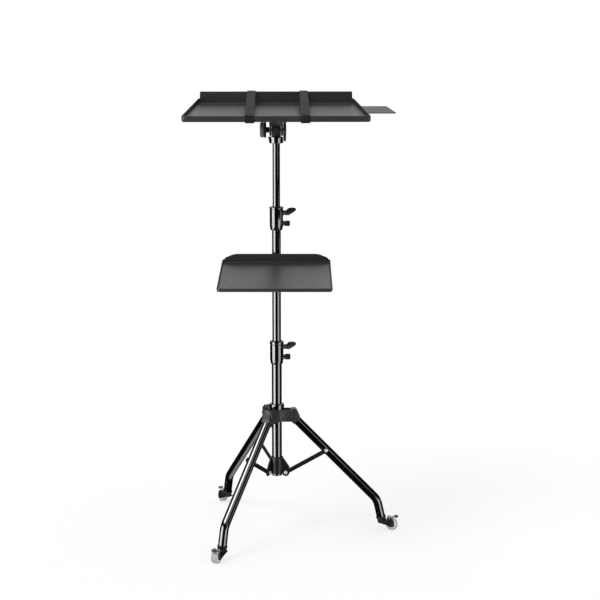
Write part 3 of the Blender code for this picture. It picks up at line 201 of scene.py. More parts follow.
def slab(outline, low, high, axis, edge=0.0, steps=3):
    def at(point, depth):
        if axis == "Y":
            return (point[0], depth, point[1])
        if axis == "X":
            return (depth, point[0], point[1])
        return (point[0], point[1], depth)

    rings = [[at(point, depth) for point in outline] for depth in (low, high)]
    item = solid(rings)
    if edge:
        soften(item, edge, steps)
    return item


def box(low, high, edge=0.0):
    return slab(rectangle(*low[:2], *high[:2]), low[2], high[2], "Z", edge)


def arc(centre, radius, start, end, steps):
    angles = [start + (end - start) * step / steps for step in range(steps + 1)]
    across, up = centre
    return [(across + radius * math.cos(angle), up + radius * math.sin(angle)) for angle in angles]


def soften(item, width, steps=3, angle=30.0):
    bevel = item.modifiers.new("edges", "BEVEL")
    bevel.width = width * MM
    bevel.segments = steps
    bevel.limit_method = "ANGLE"
    bevel.angle_limit = angle * DEG
    bevel.harden_normals = True
    return item


# Booleans and modifiers are applied at once, so that every piece is a plain mesh
def applied(item):
    view = bpy.context.evaluated_depsgraph_get()
    view.update()
    shape = bpy.data.meshes.new_from_object(item.evaluated_get(view))
    item.modifiers.clear()
    item.data = shape
    return item


def combine(item, tools, operation):
    for tool in tools:
        step = item.modifiers.new(operation, "BOOLEAN")
        step.operation = operation
        step.solver = "EXACT"
        step.object = tool
        applied(item)
        bpy.data.objects.remove(tool, do_unlink=True)


def joined(item, *tools):
    combine(item, tools, "UNION")


def cut(item, *tools):
    combine(item, tools, "DIFFERENCE")


def moved(item, matrix):
    item.data.transform(matrix)
    return item


def shifted(item, at):
    return moved(item, Matrix.Translation(Vector(at) * MM))


def raised(item, height):
    return moved(item, Matrix.Translation((0.0, 0.0, height * MM)))


def pin(radius, low, high, axis, at=(0.0, 0.0, 0.0)):
    return shifted(turned(((radius, low), (radius, high)), 32, False, axis), at)


# A finished piece: its finish, its body and the node that it stands for
def finish(item, name, body, surface, place=AT_MAST, node=None, sharp=32.0):
    if item.modifiers:
        applied(item)
    item.name = name
    item.data.name = name
    item.data.transform(place)
    item.data.materials.clear()
    item.data.materials.append(surface)
    for polygon in item.data.polygons:
        polygon.use_smooth = True
    item.data.set_sharp_from_angle(angle=sharp * DEG)
    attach(item, body)
    if node:
        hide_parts(node)


# A piece that stands for a node by itself is named after it
def skin(item, node, body, surface, place=AT_MAST, sharp=32.0):
    finish(item, f"{node}_skin", body, surface, place, node, sharp)


# Inputs of a node: sockets are linked, and values are set
def feed(tree, node, inputs):
    for key, value in inputs.items():
        if isinstance(value, bpy.types.NodeSocket):
            tree.links.new(value, node.inputs[key])
        else:
            node.inputs[key].default_value = value
    return node


# Surfaces: colour and roughness vary with noise, and a fine noise or weave gives the bump.
# Most of a noise lies between these two values
NOISE_LOW = 0.35
NOISE_HIGH = 0.65
SPECULAR = "Specular IOR Level"


class Surface:
    def __init__(self, name, inputs, slot=None):
        self.material = bpy.data.materials.new(name)
        self.material.use_nodes = True
        self.tree = self.material.node_tree
        self.shader = self.tree.nodes["Principled BSDF"]
        self.set(inputs)
        self.place = self.add("ShaderNodeTexCoord", {}).outputs["Object"]
        self.normal = None

    def set(self, inputs):
        feed(self.tree, self.shader, inputs)

    def add(self, kind, inputs):
        return feed(self.tree, self.tree.nodes.new(kind), inputs)

    def noise(self, scale, detail, source=None):
        inputs = {"Scale": scale, "Detail": detail, "Vector": source or self.place}
        return self.add("ShaderNodeTexNoise", inputs).outputs["Fac"]

    def math(self, operation, first, second=0.0):
        node = self.tree.nodes.new("ShaderNodeMath")
        node.operation = operation
        return feed(self.tree, node, {0: first, 1: second}).outputs["Value"]

    def colour_from(self, source, colour, dark, light, start=NOISE_LOW, end=NOISE_HIGH):
        node = self.add("ShaderNodeValToRGB", {"Fac": source})
        stops = ((start, dark), (end, light))
        for element, (position, share) in zip(node.color_ramp.elements, stops):
            element.position = position
            element.color = (*(channel * share for channel in colour), 1.0)
        self.set({"Base Color": node.outputs["Color"]})

    def roughness_from(self, source, low, high):
        inputs = {"From Min": NOISE_LOW, "From Max": NOISE_HIGH, "To Min": low, "To Max": high}
        node = self.add("ShaderNodeMapRange", {"Value": source, **inputs})
        self.set({"Roughness": node.outputs["Result"]})

    def bump(self, height, strength, distance):
        inputs = {"Strength": strength, "Distance": distance * MM, "Height": height}
        if self.normal:
            inputs["Normal"] = self.normal
        self.normal = self.add("ShaderNodeBump", inputs).outputs["Normal"]
        self.set({"Normal": self.normal})


# tint and wear are a noise's scale and detail, then its darkest and lightest share. grains are
# the same for the bump, with strength and depth
def grained(name, slot, colour, roughness, tint, wear, grains, inputs):
    made = Surface(name, inputs, slot)
    made.colour_from(made.noise(*tint[:2]), colour, *tint[2:])
    low, high = wear[2:]
    made.roughness_from(made.noise(*wear[:2]), roughness * low, roughness * high)
    for scale, detail, strength, depth in grains:
        made.bump(made.noise(scale, detail), strength, depth)
    return made.material


def moulding(name, slot, colour, roughness, specular, grain=1400.0, depth=0.06):
    tint = (60.0, 4.0, 0.85, 1.2)
    wear = (240.0, 4.0, 0.85, 1.2)
    grains = ((grain, 3.0, 0.35, depth),)
    return grained(name, slot, colour, roughness, tint, wear, grains, {SPECULAR: specular})


def brushed_metal(name, slot, colour, roughness):
    made = Surface(name, {"Metallic": 1.0}, slot)
    inputs = {"Scale": (60.0, 2600.0, 2600.0), "Vector": made.place}
    lines = made.noise(1.0, 4.0, made.add("ShaderNodeMapping", inputs).outputs["Vector"])
    made.colour_from(lines, colour, 0.8, 1.1)
    made.roughness_from(lines, roughness * 0.8, roughness * 1.3)
    made.bump(lines, 0.2, 0.03)
    return made.material


# Webbing: the map runs across the strap and along it. Threads are in radians for each millimetre
THREADS_ACROSS = 4.2
THREADS_ALONG = 3.6
THREAD_SHIFT = 0.8


def woven(name, slot, colour):
    inputs = {"Roughness": 0.8, SPECULAR: 0.25, "Sheen Weight": 0.1, "Sheen Roughness": 0.4}
    made = Surface(name, inputs, slot)
    coordinates = made.add("ShaderNodeUVMap", {})
    coordinates.uv_map = "weave"
    split = made.add("ShaderNodeSeparateXYZ", {"Vector": coordinates.outputs["UV"]})
    across = made.math("SINE", made.math("MULTIPLY", split.outputs["X"], THREADS_ACROSS))
    shift = made.math("MULTIPLY", made.math("SIGN", across), THREAD_SHIFT)
    plain = made.math("MULTIPLY", split.outputs["Y"], THREADS_ALONG)
    along = made.math("SINE", made.math("ADD", plain, shift))
    threads = made.math("MULTIPLY", made.math("ABSOLUTE", along), made.math("ABSOLUTE", across))
    made.colour_from(threads, colour, 0.35, 1.5, 0.0, 0.9)
    made.bump(threads, 0.9, 0.35)
    made.bump(made.noise(2400.0, 4.0), 0.25, 0.08)
    return made.material


GLOSS = grained(
    "enamel", "gloss_black", (0.003, 0.003, 0.0032), 0.1, (22.0, 3.0, 0.8, 1.25),
    (160.0, 5.0, 0.85, 1.3), ((500.0, 2.0, 0.04, 0.02),), {SPECULAR: 0.78, "IOR": 1.9},
)
CASTING = moulding("cast_metal", "dark_casting", (0.034, 0.034, 0.035), 0.36, 0.5, 900.0, 0.02)
PLASTIC = moulding("black_plastic", "satin_black", (0.007, 0.007, 0.0075), 0.4, 0.5)
TRAY = grained(
    "powder_coat", "tray_grey", (0.033, 0.033, 0.034), 0.43, (9.0, 4.0, 0.9, 1.12),
    (300.0, 4.0, 0.9, 1.1), ((1100.0, 2.0, 0.3, 0.08), (30.0, 2.0, 0.12, 0.3)), {SPECULAR: 0.42},
)
STEEL = brushed_metal("brushed_steel", "satin_steel", (0.42, 0.42, 0.43), 0.32)
CHROME = grained(
    "plated_steel", "chrome", (0.95, 0.95, 0.96), 0.42, (150.0, 4.0, 0.85, 1.0),
    (420.0, 4.0, 0.7, 1.5), ((900.0, 2.0, 0.08, 0.03),), {"Metallic": 0.45},
)
WEBBING = woven("woven_strap", "webbing", (0.012, 0.012, 0.0126))
WHEEL = grained(
    "wheel_plastic", "pale_wheel", (0.94, 0.95, 0.95), 0.3, (90.0, 4.0, 0.9, 1.0),
    (300.0, 3.0, 0.8, 1.25), ((500.0, 3.0, 0.1, 0.05),),
    {"Subsurface Weight": 0.15, "Subsurface Radius": (0.004, 0.004, 0.004)},
)
TYRE = moulding("wheel_tread", "pale_wheel", (0.45, 0.45, 0.45), 0.5, 0.4, 700.0, 0.05)
PEDAL = moulding("pedal_plastic", "pedal_grey", (0.34, 0.34, 0.35), 0.42, 0.4)
KNOB_FACE = moulding("knob_face", "satin_black", (0.12, 0.12, 0.123), 0.4, 0.5)


# Mast tubes, hollow, with a small round on their ends
def tube(name, radii, bottom, top, body):
    radius, inner = radii
    corners = rectangle(inner, bottom, radius, top)
    skin(turned(eased(corners, 0.35, 3), 96), name, body, GLOSS)


# Clamp collar: tapered foot, a groove, a wider band at the top and two bosses for the knobs.
# It stands on a shelf at the end of its own tube, below a closer bore for the sliding one
BOSS_REACH = 3.0


def collar(name, body, clamp, bores, bottom, shelf, band):
    radius, top, *boss_at = clamp
    wide_bore, close_bore = bores
    corners = (
        (wide_bore, bottom), (radius - 1.6, bottom), (radius - 0.5, bottom + 6.8),
        (radius - 0.5, bottom + 7.8), (radius, bottom + 8.3), (radius, top - band - 0.9),
        (radius - 0.35, top - band - 0.7), (radius - 0.35, top - band),
        (radius + 0.7, top - band + 0.3), (radius + 0.7, top), (close_bore, top),
        (close_bore, shelf), (wide_bore, shelf),
    )
    rounds = (0.4, 0.9, 0.5, 0.3, 0.4, 0.3, 0.15, 0.2, 0.6, 1.2, 0.35, 0, 0)
    item = turned(eased(corners, rounds, 4), 96)
    face = radius + BOSS_REACH
    for height in boss_at:
        profile = (
            (6.6, radius - 2.6), (6.0, radius - 0.2), (5.6, radius + 0.8), (5.5, face - 0.3),
            (5.2, face),
        )
        joined(item, raised(turned(profile, 48, False, "X"), height))
    for height in boss_at:
        cut(item, pin(HOLE, close_bore - 1.0, face + 1.0, "X", (0.0, 0.0, height)))
    bore = turned(((close_bore, shelf - 0.01), (close_bore, top + 2.0)), 96, False)
    wide = turned(((wide_bore, bottom - 2.0), (wide_bore, shelf)), 96, False)
    cut(item, bore, wide)
    skin(item, name, body, GLOSS)


# Bushing lip that shows round the sliding tube at the collar's mouth
def bushing(name, body, inner, top):
    low = top + 0.05
    high = top + 0.7
    corners = ((inner, low), (inner + 2.4, low), (inner + 2.1, high), (inner, high))
    finish(turned(eased(corners, 0.25, 3), 72), name, body, PLASTIC)


# Wing lever: a round hub with a wedge-shaped paddle that is hollowed on both faces
RING_SIDES = 32
SQUARENESS = 2.6


def ring_of(centre, across, wide, deep):
    power = 2.0 / SQUARENESS
    ring = []
    for side in range(RING_SIDES):
        angle = math.tau * side / RING_SIDES
        waves = (math.cos(angle), math.sin(angle))
        right, high = (math.copysign(abs(wave) ** power, wave) for wave in waves)
        ring.append(centre + Vector((0.0, wide * right, 0.0)) + across * deep * high)
    return ring


# A smooth curve through the points
def smooth_path(points):
    steps = 4
    path = []
    ends = [Vector(point) for point in (points[0], *points, points[-1])]
    for before, here, there, after in zip(ends, ends[1:], ends[2:], ends[3:]):
        for step in range(steps):
            share = step / steps
            bend = 2.0 * before - 5.0 * here + 4.0 * there - after
            twist = 3.0 * here - before - 3.0 * there + after
            rise = 2.0 * here + (there - before) * share + bend * share**2 + twist * share**3
            path.append(0.5 * rise)
    return path + ends[-1:]


# Rows of the paddle: outward, up, half width across Y and half depth
WING_ROWS = (
    (3.0, 0.0, 4.6, 4.0), (5.6, 1.0, 6.6, 3.4), (7.6, 2.9, 8.6, 2.9), (10.0, 5.0, 8.8, 2.6),
    (12.8, 7.2, 8.0, 2.4), (16.0, 9.2, 6.8, 2.3), (19.4, 11.0, 5.2, 2.0), (22.0, 12.2, 3.9, 1.6),
    (23.8, 12.9, 2.2, 0.8),
)


def wing(start):
    path = smooth_path(WING_ROWS)
    rings = []
    for last, row, following in zip(path[:1] + path, path, path[1:] + path[-1:]):
        along = Vector((following[0] - last[0], 0.0, following[1] - last[1])).normalized()
        across = Vector((-along.z, 0.0, along.x))
        rings.append(ring_of(Vector((start + row[0], 0.0, row[1])), across, row[2], row[3]))
    return solid(rings)


# Half sizes of a hollow, its tilt, and the middle of the two, outward and up
HOLLOW = (4.2, 4.2, 1.0)
HOLLOW_TILT = -30.0 * DEG
HOLLOW_AT = (15.0, 8.6)


# face is the boss's end, and clamped the radius of the tube that the screw presses on
def lever(name, body, face, clamped, height):
    start = face + GAP
    profile = (
        (PIN, clamped + GAP), (PIN, start), (5.0, start), (5.5, start + 0.6), (5.5, start + 8.6),
        (4.6, start + 9.9), (3.0, start + 10.2),
    )
    item = turned(profile, 64, False, "X")
    joined(item, wing(start))
    for side in (-1.0, 1.0):
        hollow = applied(box([-half for half in HOLLOW], HOLLOW, 0.9))
        lift = 2.9 * side
        turn = Matrix.Rotation(HOLLOW_TILT, 4, "Y")
        out, up = HOLLOW_AT
        at = Vector((start + out - lift * 0.5, 0.0, up + lift * 0.86)) * MM
        cut(item, moved(hollow, Matrix.Translation(at) @ turn))
    lift = Matrix.Translation((0.0, 0.0, height * MM))
    moved(item, lift @ Matrix.Rotation(LEVER_TURN, 4, "X"))
    skin(item, name, body, PLASTIC, sharp=38.0)


# Small screw knob with flutes round its grip
def fluted(depth, count):
    def reach(radius, angle):
        wave = (1.0 - math.cos(count * angle)) / 2.0
        return radius - depth * wave**2

    return reach


def screw(name, body, face, clamped, radius, length, axis, height):
    start = face + GAP
    end = start + length
    profile = (
        (PIN, clamped + GAP), (PIN, start), (radius - 1.4, start), (radius - 0.4, start + 0.5, 1),
        (radius, start + 1.3, 1), (radius, end - 1.8, 1), (radius - 0.5, end - 0.8, 1),
        (radius - 1.4, end - 0.2, 1), (radius - 2.4, end), (radius - 3.0, end - 0.5),
        (0.5, end - 0.6),
    )
    item = turned(profile, 96, False, axis, fluted(0.55, 8))
    skin(raised(item, height), name, body, PLASTIC)


# Radius, top, and the heights of the lever and the screw
LOWER_CLAMP = (14.6, 427.0, 414.4, 392.0)
UPPER_CLAMP = (14.5, 720.0, 707.0, 684.0)


def build_mast():
    tube("lower_tube", LOWER_TUBE, 126.0, 402.0, "mast_base")
    tube("middle_tube", MIDDLE_TUBE, 262.0, 690.0, "middle_mast")
    tube("upper_tube", UPPER_TUBE, 480.0, 866.0, "upper_mast")
    bores = (LOWER_BORE, MIDDLE_BORE)
    collar("lower_collar", "mast_base", LOWER_CLAMP, bores, bottom=376.5, shelf=402.3, band=6.6)
    bores = (MIDDLE_BORE, UPPER_BORE)
    collar("upper_collar", "middle_mast", UPPER_CLAMP, bores, bottom=670.0, shelf=690.3, band=4.0)
    bushing("lower_bushing", "mast_base", MIDDLE_BORE, LOWER_CLAMP[1])
    bushing("upper_bushing", "middle_mast", UPPER_BORE, UPPER_CLAMP[1])
    lower = LOWER_CLAMP[0] + BOSS_REACH
    upper = UPPER_CLAMP[0] + BOSS_REACH
    lever("lower_collar_lever", "lower_lever", lower, MIDDLE_TUBE[0], LOWER_CLAMP[2])
    lever("upper_collar_lever", "upper_lever", upper, UPPER_TUBE[0], UPPER_CLAMP[2])
    grip = (6.5, 11.9, "X", LOWER_CLAMP[3])
    screw("lower_collar_screw", "lower_screw", lower, LOWER_TUBE[0], *grip)
    grip = (6.0, 11.4, "X", UPPER_CLAMP[3])
    screw("upper_collar_screw", "upper_screw", upper, MIDDLE_TUBE[0], *grip)


# Leg hub: sleeve with three pairs of round-edged ears
HUB_BOTTOM = 249.0
HUB_TOP = 275.2


def hub():
    corners = rectangle(LOWER_BORE, HUB_BOTTOM, 15.0, HUB_TOP)
    item = turned(eased(corners, (0.3, 1.0, 0.6, 0.3), 3), 96)
    outline = eased(rectangle(7.6, HUB_BOTTOM, 42.5, HUB_TOP), (0, 4.2, 4.2, 0), 8)
    ears = []
    for number in LEG_NUMBERS:
        for low, high in ((-12.4, -9.9), (9.9, 12.4)):
            ear = slab(outline, low, high, "Y", 0.55, 3)
            ears.append(moved(applied(ear), round_mast(number)))
    joined(item, *ears)
    for number in LEG_NUMBERS:
        cut(item, moved(pin(HOLE, -14.0, 14.0, "Y", LEG_PIVOT), round_mast(number)))
    skin(item, "leg_hub", "hub", CASTING)


# Low rings pressed into the outer faces of the ears round each pivot
def ear_rings(number):
    for side in (-1.0, 1.0):
        profile = ((7.6, 12.35), (7.4, 12.62), (6.7, 12.62), (6.5, 12.35))
        rows = [(radius, height * side) for radius, height in profile]
        item = shifted(turned(rows, 64, True, "Y"), LEG_PIVOT)
        label = "left" if side < 0 else "right"
        finish(item, f"ear_ring_{number}_{label}", "hub", CASTING, at_arm(number))


def cap():
    corners = (
        (LOWER_BORE, 275.5), (15.4, 275.5), (15.9, 279.0), (16.2, 283.0), (16.2, 286.9),
        (14.8, 288.1), (LOWER_BORE, 288.1),
    )
    item = turned(eased(corners, (0.3, 0.6, 2.0, 1.5, 0.9, 0.9, 0.3), 4), 96)
    cut(item, turned(rectangle(15.2, 278.1, 17.0, 278.9), 96))
    skin(item, "hub_cap", "hub", GLOSS)


# Pin with a domed head on each side
HEAD_RIM = 0.45


def headed(radius, head_radius, head_height, low, high):
    def dome(face, way):
        rows = [(head_radius, face), (head_radius, face + way * head_height * HEAD_RIM)]
        for step in range(1, 6):
            angle = QUARTER * step / 6
            rise = HEAD_RIM + (1.0 - HEAD_RIM) * math.sin(angle)
            rows.append((head_radius * math.cos(angle), face + way * head_height * rise))
        rows.append((0.25, face + way * head_height))
        return rows

    profile = list(reversed(dome(low, -1.0))) + [(radius, low), (radius, high)] + dome(high, 1.0)
    return turned(profile, 48, False, "Y")


def hub_pins(number):
    item = shifted(headed(PIN, 3.8, 1.3, -12.7, 12.7), LEG_PIVOT)
    skin(item, f"leg_pivot_pin_{number}", "hub", CASTING, at_arm(number))


def build_hub():
    hub()
    cap()
    for number in LEG_NUMBERS:
        ear_rings(number)
        hub_pins(number)


# Bent leg tube, knuckle and foot socket, along the leg from its pivot
LEG_TUBE = (9.5, 8.3)
LEG_TURN = LEG_SPLAY - LEG_FOOT_SPLAY
LEG_BEND_AT = 266.82
LEG_BEND_RADIUS = 40.0
LEG_FOOT_LENGTH = 39.0
KNUCKLE_OUTLINE = (
    (15.2, -9.5), (-1.0, -9.5), (-8.5, -7.0), (-12.0, -1.0), (-13.6, 5.0), (-13.0, 13.0),
    (-7.3, 17.6), (3.2, 14.6), (15.2, 9.5),
)


def leg_path():
    tangent = LEG_BEND_RADIUS * math.tan(LEG_TURN / 2.0)
    bend_start = LEG_BEND_AT - tangent
    path = [(Vector((along, 0.0, 0.0)), 0.0) for along in (15.5, bend_start - 6.0)]
    steps = 24
    for step in range(steps + 1):
        angle = LEG_TURN * step / steps
        along = bend_start + LEG_BEND_RADIUS * math.sin(angle)
        path.append((Vector((along, 0.0, LEG_BEND_RADIUS * (math.cos(angle) - 1.0))), angle))
    foot = Vector((math.cos(LEG_TURN), 0.0, -math.sin(LEG_TURN)))
    corner = Vector((LEG_BEND_AT, 0.0, 0.0))
    for length in (LEG_FOOT_LENGTH - 2.0, LEG_FOOT_LENGTH):
        path.append((corner + foot * length, LEG_TURN))
    return path


def ring_across(centre, angle, radius):
    up = Vector((math.sin(angle), 0.0, math.cos(angle)))
    side = Vector((0.0, 1.0, 0.0))
    ring = []
    for index in range(72):
        turn = math.tau * index / 72
        ring.append(centre + up * radius * math.cos(turn) + side * radius * math.sin(turn))
    return ring


def leg_tube(number):
    outside, inside = (
        [ring_across(centre, angle, radius) for centre, angle in leg_path()] for radius in LEG_TUBE
    )
    item = solid(outside + list(reversed(inside)), True)
    skin(item, f"leg_tube_{number}", f"leg_{number}", GLOSS, at_leg(number))


def knuckle(number):
    outline = eased(KNUCKLE_OUTLINE, (0, 4.0, 4.0, 4.0, 4.0, 4.2, 4.2, 6.0, 0), 6)
    item = applied(slab(outline, -9.6, 9.6, "Y", 1.3, 4))
    joined(item, turned(((8.0, 11.0), (8.0, 33.4), (7.4, 34.0)), 64, False, "X"))
    cut(item, pin(HOLE, -11.0, 11.0, "Y"))
    skin(item, f"leg_top_block_{number}", f"leg_{number}", CASTING, at_leg(number))


# Foot socket: a flat seat for the caster, a collar and a plug that leans with the leg's foot
SEAT = 21.5


def socket(number):
    lean = Vector((-math.sin(LEG_FOOT_SPLAY), 0.0, math.cos(LEG_FOOT_SPLAY)))
    tilt = QUARTER - LEG_FOOT_SPLAY
    along = 9.7 / math.cos(LEG_FOOT_SPLAY)
    rows = (
        (12.0, 7.6), (11.5, 8.0), (-0.3, 8.0), (-0.3, 10.6), (-0.7, 11.0), (-2.7, 11.0),
        (-3.3, 10.6),
    )
    rings = []
    for beyond, radius in rows:
        rings.append(ring_across(Vector((0.0, 0.0, SEAT)) + lean * (along + beyond), tilt, radius))
    for height, radius in ((SEAT + 0.6, 9.5), (SEAT, 9.1)):
        rings.append(ring_across(Vector((0.0, 0.0, height)), QUARTER, radius))
    item = solid(rings)
    cut(item, pin(3.3, 20.0, 34.5, "Z"))
    skin(item, f"leg_socket_{number}", f"leg_{number}", PLASTIC, at_caster(number))


# Caster fork: two cheeks and a round seat, hollowed for the wheel
FORK_OUTLINE = (
    (-8.5, 20.4), (-8.5, 18.0), (8.0, 12.6), (18.6, 7.2), (25.0, 7.2), (27.4, 11.0), (26.2, 19.5),
    (23.5, 25.6), (19.6, 28.8), (14.0, 28.8), (11.4, 20.4),
)


def caster_fork(number):
    outline = eased(FORK_OUTLINE, (1.2, 1.2, 4.0, 4.0, 3.0, 4.0, 5.0, 3.5, 3.0, 2.0, 3.0), 6)
    item = applied(slab(outline, -9.6, 9.6, "Y", 0.9, 3))
    profile = (
        (8.8, 16.8), (9.3, 17.4), (9.3, 20.7), (8.9, 21.2), (3.0, 21.2), (3.0, 33.7), (2.5, 34.2),
    )
    joined(item, turned(profile, 72, False))
    sweep = arc(AXLE_AT[::2], 13.3, 141.0 * DEG, 270.0 * DEG, 24)
    opening = [(11.6, 34.2)] + sweep + [(35.8, -0.8), (35.8, 34.2)]
    cut(item, slab(opening, -7.2, 7.2, "Y"))
    cut(item, pin(2.3, -11.0, 11.0, "Y", AXLE_AT))
    cut(item, pin(1.5, -11.0, 11.0, "Y", BRAKE_AT))
    skin(item, f"caster_fork_{number}", f"caster_{number}", PLASTIC, at_caster(number))
    axle = shifted(headed(2.0, 3.4, 1.1, -9.9, 9.9), AXLE_AT)
    skin(axle, f"caster_axle_{number}", f"caster_{number}", CASTING, at_caster(number))


# Wheel: a pale disc with a raised hub and a dished web inside a darker tread
def wheel(number):
    corners = (
        (2.3, -6.7), (4.6, -6.7), (5.2, -5.6), (9.2, -5.4), (9.9, -6.2), (9.9, 6.2), (9.2, 5.4),
        (5.2, 5.6), (4.6, 6.7), (2.3, 6.7),
    )
    outline = eased(corners, (0.2, 0.4, 0.5, 0.5, 0.3, 0.3, 0.5, 0.5, 0.4, 0.2), 3)
    disc = shifted(turned(outline, 96, True, "Y"), AXLE_AT)
    body, name = (f"wheel_{number}", f"caster_wheel_{number}")
    finish(disc, f"{name}_disc", body, WHEEL, at_caster(number), node=name)
    corners = ((9.9, -6.7), (11.6, -6.7), (12.5, -5.4), (12.5, 5.4), (11.6, 6.7), (9.9, 6.7))
    outline = eased(corners, (0.3, 0.9, 1.2, 1.2, 0.9, 0.3), 4)
    tread = shifted(turned(outline, 96, True, "Y"), AXLE_AT)
    finish(tread, f"caster_tread_{number}", body, TYRE, at_caster(number))


# Brake pedal: barrel and arm, with a rounded toe cap over its tip
def brake(number):
    profile = ((1.2, -8.6), (1.2, -6.9), (2.0, -6.9), (2.0, 6.9), (1.2, 6.9), (1.2, 8.6))
    item = turned(profile, 40, False, "Y")
    rail = ((-0.4, 0.5), (4.0, 0.7), (12.4, 2.2), (12.4, 4.4), (4.0, 2.6), (-0.4, 1.7))
    arm = slab(eased(rail, (0, 2.0, 0, 0, 2.0, 0), 5), -3.6, 3.6, "Y", 0.4, 3)
    joined(item, applied(arm))
    shifted(item, BRAKE_AT)
    body, name = (f"brake_{number}", f"caster_brake_{number}")
    finish(item, f"{name}_arm", body, PEDAL, at_caster(number), node=name)
    rings = []
    steps = 24
    sides = 40
    for step in range(steps + 1):
        angle = HALF_TURN * step / steps
        share = max(math.sin(angle), 0.04) ** 0.45
        ring = []
        for side in range(sides):
            turn = math.tau * side / sides
            out = 15.2 + 4.8 * share * math.cos(turn)
            ring.append((out, -5.0 * math.cos(angle), 3.4 + 3.1 * share * math.sin(turn)))
        rings.append(ring)
    toe = shifted(solid(rings), BRAKE_AT)
    finish(toe, f"brake_toe_{number}", body, CASTING, at_caster(number))


def build_legs():
    for number in LEG_NUMBERS:
        leg_tube(number)
        knuckle(number)
        socket(number)
        caster_fork(number)
        wheel(number)
        brake(number)


# Braces: pressed strips with a round eye at the bracket and a smaller one at the leg
BRACE_FOOT = Vector(BRACE_PIVOT[::2])
BRACE_TOP = Vector(LEG_PIVOT[::2]) + Vector((math.sin(LEG_SPLAY), -math.cos(LEG_SPLAY))) * 105.9
BRACE_HALF = 4.7
LOWER_EYE = 8.3
UPPER_EYE = 5.2


def arc_slot(start, end, half):
    first = arc((start, 0.0), half, QUARTER, 3.0 * QUARTER, 12)
    return first + arc((end, 0.0), half, -QUARTER, QUARTER, 12)


def brace(number):
    reach = BRACE_TOP - BRACE_FOOT
    lower = math.asin(BRACE_HALF / LOWER_EYE)
    upper = math.asin(BRACE_HALF / UPPER_EYE)
    outline = arc((0.0, 0.0), LOWER_EYE, lower, math.tau - lower, 48)
    outline += arc((reach.length, 0.0), UPPER_EYE, upper - math.pi, math.pi - upper, 32)
    item = applied(slab(outline, -12.4, -9.9, "Y", 0.45, 2))
    for along in (0.0, reach.length):
        cut(item, pin(HOLE, -14.0, -8.0, "Y", (along, 0.0, 0.0)))
    bead = slab(arc_slot(12.5, reach.length - 10.5, 1.6), -12.75, -12.3, "Y", 0.3, 2)
    joined(item, applied(bead))
    rise = Matrix.Rotation(-math.atan2(reach.y, reach.x), 4, "Y")
    moved(item, Matrix.Translation(Vector(BRACE_PIVOT) * MM) @ rise)
    skin(item, f"brace_{number}", f"brace_{number}", PLASTIC, at_arm(number))


def rivet(number):
    rim = -13.1
    profile = [(PIN, -9.8), (PIN, -12.7), (3.8, -12.7), (3.8, rim)]
    for step in range(1, 9):
        angle = QUARTER * step / 9
        profile.append((3.8 * math.cos(angle), rim - 0.9 * math.sin(angle)))
    profile.append((0.2, -14.0))
    item = shifted(turned(profile, 48, False, "Y"), (BRACE_TOP.x, 0.0, BRACE_TOP.y))
    skin(item, f"brace_rivet_{number}", f"brace_{number}", CHROME, at_arm(number))
    foot = shifted(headed(PIN, 3.8, 1.3, -12.7, -6.3), BRACE_PIVOT)
    skin(foot, f"brace_pin_{number}", "mast_base", CHROME, at_arm(number))


FIN_OUTLINE = (
    (10.6, 131.5), (15.5, 129.4), (23.5, 129.4), (27.4, 134.8), (27.4, 146.5), (25.8, 149.8),
    (13.6, 167.6), (10.6, 167.6),
)


def bracket():
    corners = rectangle(LOWER_BORE, 131.0, 13.8, 168.0)
    item = turned(eased(corners, (0.3, 0.9, 0.9, 0.3), 4), 96)
    outline = eased(FIN_OUTLINE, (0, 2.0, 3.0, 3.0, 3.0, 3.0, 3.0, 0), 6)
    fins = []
    for number in LEG_NUMBERS:
        fin = slab(outline, -9.6, -6.6, "Y", 0.6, 3)
        fins.append(moved(applied(fin), round_mast(number)))
    joined(item, *fins)
    for number in LEG_NUMBERS:
        cut(item, moved(pin(HOLE, -11.0, -5.0, "Y", BRACE_PIVOT), round_mast(number)))
    cut(item, turned(((LOWER_BORE, 125.0), (LOWER_BORE, 172.0)), 96, False))
    skin(item, "spreader_bracket", "mast_base", PLASTIC)


def build_spreader():
    bracket()
    for number in LEG_NUMBERS:
        brace(number)
        rivet(number)


# Folded sheet trays: rounded folds and a rolled rim, with a higher back wall that has sloped ends.
# Each row is an inset from the outer face and a rise
FOLD = ((5.2, 0.0), (4.0, 0.0), (2.74, 0.2), (1.58, 0.79), (0.72, 1.68), (0.18, 2.8), (0.0, 4.0))
INNER_FOLD = ((1.5, 4.2), (1.62, 3.24), (2.1, 2.5), (2.9, 1.78), (4.0, 1.5))
RIM = (
    (0.0, -0.8), (0.12, -0.35), (0.42, -0.08), (0.75, 0.0), (1.08, -0.08), (1.38, -0.35),
    (1.5, -0.8),
)
TRAY_RADII = (7.0, 7.0, 3.0, 3.0)
LEAST_RADIUS = 0.6


# The tray's outline at an inset from its outer face, one arc of points for each corner
def fillet(corners, inset):
    steps = 8
    count = len(corners)
    lines = []
    for index, corner in enumerate(corners):
        along = (Vector(corners[(index + 1) % count]) - Vector(corner)).normalized()
        outward = Vector((along.y, -along.x))
        lines.append((Vector(corner) - outward * inset, along, outward))
    arcs = []
    for index in range(count):
        start, first, first_out = lines[index - 1]
        point, second, second_out = lines[index]
        share = (point - start).cross(second) / first.cross(second)
        here = start + first * share
        radius = max(TRAY_RADII[index] - inset, LEAST_RADIUS)
        centre = here - (first_out + second_out) * radius / (1.0 + first_out.dot(second_out))
        points = []
        for step in range(steps + 1):
            outward = first_out.lerp(second_out, step / steps).normalized()
            points.append(centre + outward * radius)
        arcs.append(points)
    return arcs


